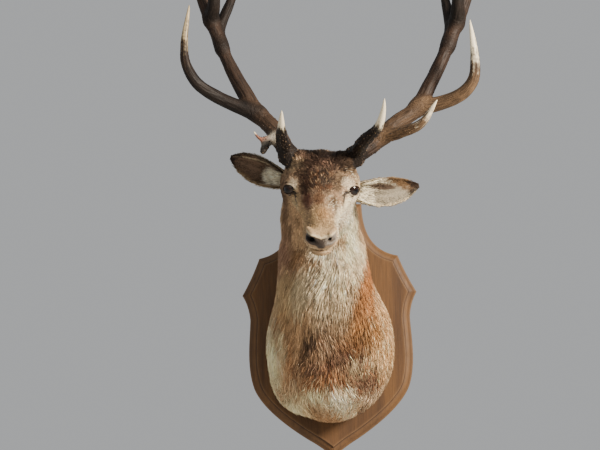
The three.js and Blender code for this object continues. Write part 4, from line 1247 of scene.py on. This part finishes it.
# The ears' coat: fine and close behind, with long pale tufts inside from the root and along the rim.
rng = np.random.default_rng(91)
for side, form in EARS.items():
    half = TUFTS_ON_EARS // 2
    along = rng.beta(1.1, 1.25, half)
    across = rng.uniform(-0.985, 0.985, half)
    outside = np.where(rng.random(half) < 0.5, 1.0, -1.0)
    lift = outside * (EAR_THICK / 2 * (1 - 0.55 * along) + 0.1)
    roots = ear_points(*form, along, across, lift)
    ahead = ear_points(*form, np.minimum(along + 0.02, 1), across, lift)
    beside = ear_points(*form, along, across + 0.02, lift)
    step = unit(ahead - roots)
    normals = unit(np.cross(beside - roots, step))
    middle = ear_points(*form, along, across, lift * 0)
    normals *= np.sign(((roots - middle) * normals).sum(axis=1))[:, None]
    sway = rng.normal(0, 0.25, half) + 0.5 * across * (outside < 0)
    lie = unit(step * np.cos(sway)[:, None] + np.cross(normals, step) * np.sin(sway)[:, None])
    inner = (outside < 0) * smooth(along, 0.62, 0.15)
    rim = smooth(abs(across), 0.86, 0.97)
    long = (6 + 16 * inner + 5 * rim) * smooth(along, 1.02, 0.85)
    wide, rise = 1.0 + 0.5 * inner, 1.3 + 4.5 * inner + 1.2 * rim
    clump, clump_tone = gathered(roots, EAR_CLUMPS, 92)
    points, faces, shares = tufts(
        roots, normals, lie, long, wide, 0.6 + inner, rise, 0.3, clump, 93, SHORT_STATIONS, close_to_ear
    )
    keep = form_height(roots) > 1
    colour = ear_tone(side, along, across, (outside > 0).astype(float), roots)
    tone = hair_tones(colour, shares, clump_tone, 94, 0.9)
    unroll = np.column_stack([across * 0.5 + outside, along])
    coat_piece(f"coat_ear_{side}", points[keep], faces[: keep.sum()], shares, tone[keep], unroll[keep])

# ---------------------------------------------------------------- glass eyes
# Two glass eyes, with a dark brown iris and a wide level pupil. The glass looks wet, so that each shows
# between its lids as a nearly black almond with one bright glint.
glass, tree, shader = finish("painted_glass_eye", Roughness=0.1, Specular_IOR_Level=0.35)
tree.links.new(stored(tree, "tone", "Color"), shader.inputs["Base Color"])
IRIS_RADIUS, PUPIL_RADII = 0.69, (0.42, 0.24)
EYE_DARK, EYE_BROWN, EYE_PUPIL = "#0c0806", "#1e1009", "#050406"
EYE_RINGS, EYE_SIDES = 40, 64
for name, side in (("left", 1), ("right", -1)):
    lean = np.repeat(np.linspace(0.01, math.pi - 0.01, EYE_RINGS), EYE_SIDES)
    turn = np.tile(np.arange(EYE_SIDES) * 2 * math.pi / EYE_SIDES, EYE_RINGS)
    x, y, out = np.sin(lean) * np.cos(turn), np.sin(lean) * np.sin(turn), np.cos(lean)
    # The cornea stands out a little in front of the iris.
    swell = (EYE_RADIUS - 0.15) * (1 + 0.02 * smooth(out, 0.7, 1.0))
    toward = x[:, None] * ACROSS + out[:, None] * OUT + y[:, None] * [0, 0, 1]
    ahead, aside, up = (BALL_MIDDLE + toward * swell[:, None]).T
    points = from_head(ahead, side * aside, up)
    pupil = smooth(np.hypot(x / PUPIL_RADII[0], y / PUPIL_RADII[1]), 1.15, 0.95)
    iris = smooth(np.hypot(x, y), IRIS_RADIUS + 0.03, IRIS_RADIUS - 0.03)
    tone = np.tile(tint(EYE_DARK), (len(points), 1))
    streaks = tint(EYE_BROWN) * (1 + 0.3 * np.sin(turn * 23 + x * 5))[:, None]
    tone = tinted(tone + (streaks - tone) * iris[:, None], EYE_PUPIL, pupil)
    faces = tube_faces(EYE_RINGS, EYE_SIDES)
    if side > 0:
        faces = faces[:, ::-1]
    piece(f"glass_eye_{name}", points, faces, glass, "glass_eye", [f"eye_{name}"], tone=tone)

# ---------------------------------------------------------------- antlers
# Solid antler, one fused piece a side: a beam with brow, bez and trez tines, forking into a crown of three.
# The bone is stained dark by rubbing and darker still as painted shade up the beams and tines and on the
# stag's right antler; it is furrowed lengthwise and pearled, and its tips are polished to ivory.
#
# A beam has the places that it runs through. A tine has the share of the beam's length at which it leaves,
# the places that it runs through, its tip, and its radius at the root.
ANTLERS = {
    "left": {
        "beam": [
            (46, -388, 342),
            (64, -380, 362),
            (104, -366, 391),
            (161, -353, 441),
            (214, -342, 479),
            (250, -330, 541),
            (302, -312, 648),
            (343, -300, 752),
            (362, -306, 833),
        ],
        "tines": {
            "brow": (0.05, [(80, -452, 381), (114, -512, 406), (125, -548, 438)], (127, -568, 460), 15.5),
            "bez": (0.17, [(165, -393, 412), (218, -440, 425)], (254, -475, 473), 14.5),
            "trez": (
                0.38,
                [(270, -358, 488), (322, -388, 505), (347, -408, 535), (350, -422, 576)],
                (341, -430, 672),
                17,
            ),
            "crown_inner": (0.66, [(306, -290, 686), (300, -264, 760)], (279, -214, 876), 13.5),
            "crown_front": (0.76, [(323, -342, 743), (326, -382, 856)], (347, -398, 1010), 14.5),
            "crown_back": (0.965, [(388, -272, 890)], (412, -262, 972), 14),
        },
        "splinter": None,
    },
    "right": {
        "beam": [
            (-84, -390, 346),
            (-97, -383, 374),
            (-127, -368, 432),
            (-168, -350, 479),
            (-199, -335, 535),
            (-234, -320, 608),
            (-261, -310, 679),
            (-292, -300, 770),
            (-307, -306, 847),
        ],
        "tines": {
            "brow": (0.05, [(-108, -440, 393), (-108, -515, 414)], (-106, -556, 440), 14.5),
            "bez": (0.14, [(-141, -405, 397)], (-152, -426, 371), 15),
            "trez": (
                0.27,
                [(-254, -368, 511), (-306, -396, 543), (-330, -412, 586), (-333, -424, 632)],
                (-319, -428, 727),
                16,
            ),
            "crown_inner": (0.62, [(-255, -286, 697), (-228, -262, 775)], (-188, -216, 905), 13.5),
            "crown_front": (0.76, [(-265, -345, 752), (-270, -382, 871)], (-289, -396, 1024), 14.5),
            "crown_back": (0.965, [(-342, -272, 902)], (-370, -262, 986), 14),
        },
        # Its bez tine was broken off and healed: a blunt stump with a thin reddish splinter on it.
        "splinter": [(-148, -410, 398), (-164, -426, 404), (-174, -432, 418)],
    },
}
BEAM_RADII = {
    "left": (20, 21.5, 20, 20, 17.5, 16.5, 16, 17, 14.5),
    "right": (20, 21.5, 20.5, 20, 17.5, 14.5, 16.5, 17, 14.5),
}
ANTLER_NODES = "beam_lower", "beam_upper", "brow", "bez", "trez", "crown_inner", "crown_front", "crown_back"
BEAM_STEPS, TINE_STEPS, SPLINTER_STEPS = 81, 31, 16
BURR_AT, BURR_PEARLS, SMALL_PEARLS = 0.035, 30, 420
ANTLER_GRID = 2.1


def through(pins, count):
    """A centripetal spline through some pins, at even lengths along it."""
    pins = np.array(pins, float)
    pins = np.vstack([2 * pins[0] - pins[1], pins, 2 * pins[-1] - pins[-2]])
    line = []
    for p0, p1, p2, p3 in zip(pins[:-3], pins[1:-2], pins[2:-1], pins[3:]):
        d1, d2, d3 = (max(np.linalg.norm(b - a), 1e-3) ** 0.5 for a, b in ((p0, p1), (p1, p2), (p2, p3)))
        out = (p2 - p1) + d2 * ((p1 - p0) / d1 - (p2 - p0) / (d1 + d2))
        into = (p2 - p1) + d2 * ((p3 - p2) / d3 - (p3 - p1) / (d2 + d3))
        t = np.linspace(0, 1, 40, endpoint=False)[:, None]
        a, b = 2 * t**3 - 3 * t**2 + 1, t**3 - 2 * t**2 + t
        line.append(a * p1 + b * out + (1 - a) * p2 + (t**3 - t**2) * into)
    line = np.vstack([*line, pins[-2:-1]])
    gone = np.concatenate([[0], np.cumsum(np.linalg.norm(np.diff(line, axis=0), axis=1))])
    even = np.linspace(0, gone[-1], count)
    return np.column_stack([np.interp(even, gone, line[:, k]) for k in range(3)])


def beam_radius(share, radii):
    """A beam's radius at shares of its length, with the swelling of its burr."""
    burr = np.exp(-(((share - BURR_AT) / 0.012) ** 2))
    return np.interp(share, np.linspace(0, 1, len(radii)), radii) * (1 + 0.26 * burr) - 0.6


def tine_radius(share, root):
    """A tine's radius, which flares at its root and draws in to a blunt point."""
    return root * (1 - share**2.2) ** 0.8 * (1 - 0.12 * share) + 0.9 + 2.5 * smooth(share, 0.2, 0)


def horns_of(form, radii):
    """Each length of an antler, as the line that it follows and its radii."""
    beam = through(form["beam"], BEAM_STEPS)
    lengths = {"beam": (beam, beam_radius(np.linspace(0, 1, BEAM_STEPS), radii))}
    share = np.linspace(0, 1, TINE_STEPS)
    for name, (at, pins, tip, root) in form["tines"].items():
        start = beam[int(round(at * (BEAM_STEPS - 1)))]
        stump = form["splinter"] and name == "bez"
        radii = root * (1 - 0.5 * share) if stump else tine_radius(share, root)
        lengths[name] = through([start, *pins, tip], TINE_STEPS), radii
    if form["splinter"]:
        radii = tine_radius(np.linspace(0, 1, SPLINTER_STEPS), 4) * 0.9
        lengths["splinter"] = through(form["splinter"], SPLINTER_STEPS), radii
    return lengths


def antler_field(lengths):
    """The field of one antler's form: how far points lie outside its lengths, joined with fillets."""

    def field(points):
        form = np.full(len(points), 60.0)
        for line, radii in lengths.values():
            reach = 40 + radii.max()
            near = np.all((points > line.min(axis=0) - reach) & (points < line.max(axis=0) + reach), axis=1)
            part = nearest_on(line, radii, points[near])[0]
            form[near] = soft_union(form[near], part, 13)
        return form

    return field


# How far up each tine the dark stain gives way to ivory.
CROWN_IVORY = {"crown_inner": 0.78, "crown_front": 0.74, "crown_back": 0.7}
IVORY_FROM = {
    "left": {"brow": 0.68, "bez": 0.8, "trez": 0.76, **CROWN_IVORY},
    "right": {"brow": 0.74, "trez": 0.82, **CROWN_IVORY},
}
# The brown is dark stain, made darker still as painted shade over the upper beams and tines. The dull ivory
# is the ivory of the stag's right trez, darkened as painted shade.
ANTLER_BASE, ANTLER_GOLD, ANTLER_BROWN_AND_SHADE = "#17100b", "#5c4834", "#2b1e15"
ANTLER_IVORY, ANTLER_WORN, ANTLER_GREY, ANTLER_SPLINTER = "#e2d6ba", "#614c37", "#726c61", "#7a5140"
ANTLER_IVORY_IN_SHADE = "#b19f7c"
# Each tine's stain at its root and below its ivory, where it isn't the dark base running up into brown.
TINE_STAINS = {("left", "bez"): (ANTLER_WORN, ANTLER_WORN), ("left", "trez"): (ANTLER_GOLD, ANTLER_BROWN_AND_SHADE)}


def bone_colour(side, name, share, points, unrolled):
    """One length's colours, and how much of each place is polished to ivory."""
    if name in IVORY_FROM[side]:
        dark, light = TINE_STAINS.get((side, name), (ANTLER_BASE, ANTLER_BROWN_AND_SHADE))
        start, fade = IVORY_FROM[side][name], 0.05 if name == "brow" else 0.1
        blend = smooth(share, start - 0.35, start)[:, None]
        colour = tint(dark) * (1 - blend) + tint(light) * blend
        streaks = 0.03 * ripple(points, 7, 52) + 0.05 * ripple(unrolled * (1, 1, 0.4), 3, 55)
        ivory = smooth(share + streaks * fade / 0.05, start - fade * 1.5, start + fade)
    else:
        stain = {"beam": ANTLER_BROWN_AND_SHADE, "bez": ANTLER_GREY, "splinter": ANTLER_SPLINTER}[name]
        colour = np.tile(tint(stain), (len(points), 1))
        ivory = smooth(share, 0.7, 0.9) * (name == "splinter")
        # The gold of rubbing on the lower beam is laid on far more thickly on the stag's left, partly as
        # painted light on the lit side.
        rubbed = (0.42 if side == "left" else 0.12) * smooth(share, 0.1, 0.18) * smooth(share, 0.46, 0.34)
        colour = tinted(colour, ANTLER_GOLD, rubbed * (name == "beam"))
    # The stag's right trez takes the darker ivory, as painted shade.
    bone = ANTLER_IVORY_IN_SHADE if (side, name) == ("right", "trez") else ANTLER_IVORY
    return tinted(colour, bone, ivory), ivory


antler, tree, shader = finish("rubbed_antler", Specular_IOR_Level=0.22, Coat_Weight=0.04, Coat_Roughness=0.4)
ivory = stored(tree, "ivory")
where = node(tree, "ShaderNodeTexCoord").outputs["Object"]
# Furrows about 2 mm apart run up each length, and fine pits lie between them.
furrow, pits = noise(tree, stored(tree, "grain", "Color"), 420.0, 3.0), noise(tree, where, 600.0, 2.0)
streak = ranged(tree, furrow, 0.5, 1.5, 0.32, 0.68)
keep = node(tree, "ShaderNodeMix", {0: ivory, 2: streak, 3: 1.0}).outputs[0]
streaked = mixed(tree, 1.0, stored(tree, "tone", "Color"), keep, "MULTIPLY")
tree.links.new(streaked, shader.inputs["Base Color"])
tree.links.new(ranged(tree, ivory, 0.6, 0.34), shader.inputs["Roughness"])
rough = node(tree, "ShaderNodeMath", {0: furrow, 1: pits}, operation="ADD").outputs[0]
smoothed = node(tree, "ShaderNodeMix", {0: ivory, 2: rough, 3: 1.0}).outputs[0]
relief = node(tree, "ShaderNodeBump", {"Strength": 0.6, "Distance": 0.0012, "Height": smoothed}).outputs[0]
tree.links.new(relief, shader.inputs["Normal"])

pearl_bone, tree, shader = finish("antler_pearling", Roughness=0.55)
where = node(tree, "ShaderNodeTexCoord").outputs["Object"]
tones = [(0.38, linear(ANTLER_BASE)), (0.54, linear("#3a2a1d")), (0.7, linear("#8a6f50"))]
stained = node(tree, "ShaderNodeValToRGB", {"Fac": noise(tree, where, 150.0, 2.0)}, ramp=tones).outputs[0]
tree.links.new(stained, shader.inputs["Base Color"])

tree, given = point_tree("Pearls", {"Smallest": "Float", "Largest": "Float", "Seed": "Int"})
bead = node(tree, "GeometryNodeMeshIcoSphere", {"Radius": 1.0, "Subdivisions": 2}).outputs["Mesh"]
size = node(
    tree,
    "FunctionNodeRandomValue",
    {2: given["Smallest"], 3: given["Largest"], "Seed": given["Seed"]},
    data_type="FLOAT",
)
turns = node(
    tree, "FunctionNodeRandomValue", {1: (6.3, 6.3, 6.3), "Seed": given["Seed"]}, data_type="FLOAT_VECTOR"
)
set_on_each(tree, given, bead, pearl_bone, Rotation=turns.outputs[0], Scale=size.outputs[1])

rng = np.random.default_rng(41)
for side, form in ANTLERS.items():
    lengths = horns_of(form, BEAM_RADII[side])
    field = antler_field(lengths)
    ends = np.vstack([line for line, _ in lengths.values()])
    low, high = ends.min(axis=0) - 30, ends.max(axis=0) + 30
    points, faces = wrap(field, [np.arange(a, b, ANTLER_GRID) for a, b in zip(low, high)], slack=0.9)
    points = settle(field, points)

    # Each point's share of each length, so that stain, furrows and polish follow the horn.
    total = np.full(len(points), 1e-6)
    grain, tone, ivory = np.zeros((len(points), 3)), np.zeros((len(points), 3)), np.zeros(len(points))
    mottle = ripple(points, 22, 51)
    for number, (name, (line, radii)) in enumerate(lengths.items()):
        height, share, foot = nearest_on(line, radii, points)
        weight = np.exp(-np.maximum(height, 0) / 2.5)
        run = unit(np.gradient(line, axis=0))
        index = np.clip((share * (len(line) - 1)).round().astype(int), 0, len(line) - 1)
        first = unit(np.cross((0, 1, 0.2), run[index]))
        second = np.cross(run[index], first)
        off = points - foot
        radius = radii[index]
        turn = np.arctan2((off * second).sum(axis=1), (off * first).sum(axis=1))
        long = np.linalg.norm(np.diff(line, axis=0), axis=1).sum()
        round_it = np.column_stack([np.cos(turn), np.sin(turn)]) * radius[:, None]
        unrolled = np.column_stack([round_it, share * long / 11 + number * 37])
        if name == "beam":
            base_share = share
        colour, pale = bone_colour(side, name, share, points, unrolled)
        grain += unrolled * weight[:, None]
        tone += colour * weight[:, None]
        ivory += pale * weight
        total += weight
    grain, tone, ivory = grain / total[:, None], tone / total[:, None], ivory / total
    dark_base = smooth(base_share + 0.02 * mottle, 0.13, 0.07) * (1 - ivory)
    tone = tinted(tone, ANTLER_BASE, 0.9 * dark_base)
    tone *= (1 + 0.25 * mottle * (1 - ivory))[:, None]

    # Furrows are cut in and lumps raised along the surface's own slope, and both fade out towards the tips.
    slope = unit(slope_of(field, points))
    furrows = np.minimum(ripple(grain, 3.4, 53), 0.5) * 0.9 - 0.2
    lumps = np.maximum(ripple(points, 5, 54), 0) * 1.1 * smooth(base_share, 0.4, 0.05)
    points = points + slope * ((furrows + lumps) * (1 - ivory))[:, None]
    piece(
        f"antler_{side}",
        points,
        faces,
        antler,
        "antler",
        [f"antler_{side}_{name}" for name in ANTLER_NODES],
        tone=np.clip(tone, 0, 1),
        grain=grain * MM,
        ivory=ivory,
    )

    # The burr's ring of large pearls, and smaller ones scattered over the first part of the beam and tines.
    line, radii = lengths["beam"]
    at = int(round(BURR_AT * (len(line) - 1)))
    run = unit(line[at + 1] - line[at - 1])
    first = unit(np.cross((0, 1, 0.2), run))
    second = np.cross(run, first)
    turns = np.linspace(0, 2 * math.pi, BURR_PEARLS, endpoint=False) + rng.normal(0, 0.05, BURR_PEARLS)
    out = radii[at] + rng.normal(0, 0.5, BURR_PEARLS) - 0.4
    ring = line[at] + (first * np.cos(turns)[:, None] + second * np.sin(turns)[:, None]) * out[:, None]
    ring += run * rng.normal(0, 1.6, (BURR_PEARLS, 1))
    odds = smooth(base_share, 0.42, 0.04) ** 2 * (1 - ivory)
    picked = rng.choice(len(points), SMALL_PEARLS, replace=False, p=odds / odds.sum())
    for name, places, small, large in (("burr", ring, 2.2, 3.4), ("pearls", points[picked], 0.7, 1.5)):
        sizes = {"Smallest": small * MM, "Largest": large * MM, "Seed": 5}
        pearls = grown(tree, f"antler_{side}_{name}", places * MM, sizes)
        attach(pearls, "root")

# ---------------------------------------------------------------- floor, lights and camera
floor = finish("pale_floor", Roughness=0.8)[0]
floor.node_tree.nodes["Principled BSDF"].inputs["Base Color"].default_value = linear("#d9d7d2")
bpy.ops.mesh.primitive_plane_add(size=16, location=(0, 0, -1.7))
ground = bpy.context.object
ground.name = "floor"
ground.data.materials.append(floor)
ground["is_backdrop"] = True

world = bpy.data.worlds.new("pale_room")
world.use_nodes = True
world.node_tree.nodes["Background"].inputs["Color"].default_value = linear("#e6e8ea")
world.node_tree.nodes["Background"].inputs["Strength"].default_value = 0.54
bpy.context.scene.world = world

for name, place, size, power, colour in (
    ("key", (2.7, -2.7, 1.3), 0.9, 430, "#fff2e1"),
    ("fill", (-1.2, -4.2, 1.8), 2.5, 34, "#fff6ec"),
):
    lamp = bpy.data.lights.new(name, "AREA")
    lamp.size, lamp.energy, lamp.color = size, power, linear(colour)[:3]
    thing = bpy.data.objects.new(name, lamp)
    thing.location = place
    thing.rotation_euler = (Vector((0, -0.2, 0.1)) - Vector(place)).to_track_quat("-Z", "Y").to_euler()
    bpy.context.scene.collection.objects.link(thing)

# The camera stands 4.4 m off and a little below, and looks up at the mount with a slight roll.
CAMERA_AT = Vector((-0.0708, -4.4283, -0.3322))
TILT, ROLL = math.radians(7.5), math.radians(1.4)
SENSOR, FOCAL_LENGTH = 36, 104.34
forward, upright = Vector((0, math.cos(TILT), math.sin(TILT))), Vector((0, -math.sin(TILT), math.cos(TILT)))
right = Vector((1, 0, 0)) * math.cos(ROLL) - upright * math.sin(ROLL)
above = Vector((1, 0, 0)) * math.sin(ROLL) + upright * math.cos(ROLL)
lens = bpy.data.cameras.new("camera")
lens.sensor_width, lens.lens, lens.sensor_fit = SENSOR, FOCAL_LENGTH, "HORIZONTAL"
camera = bpy.data.objects.new("camera", lens)
camera.matrix_world = Matrix.Translation(CAMERA_AT) @ Matrix((right, above, -forward)).transposed().to_4x4()
bpy.context.scene.collection.objects.link(camera)
bpy.context.scene.camera = camera

low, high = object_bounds()
sizes = {"cad": [list(cad_low), list(cad_high)], "visual": [list(low), list(high)]}
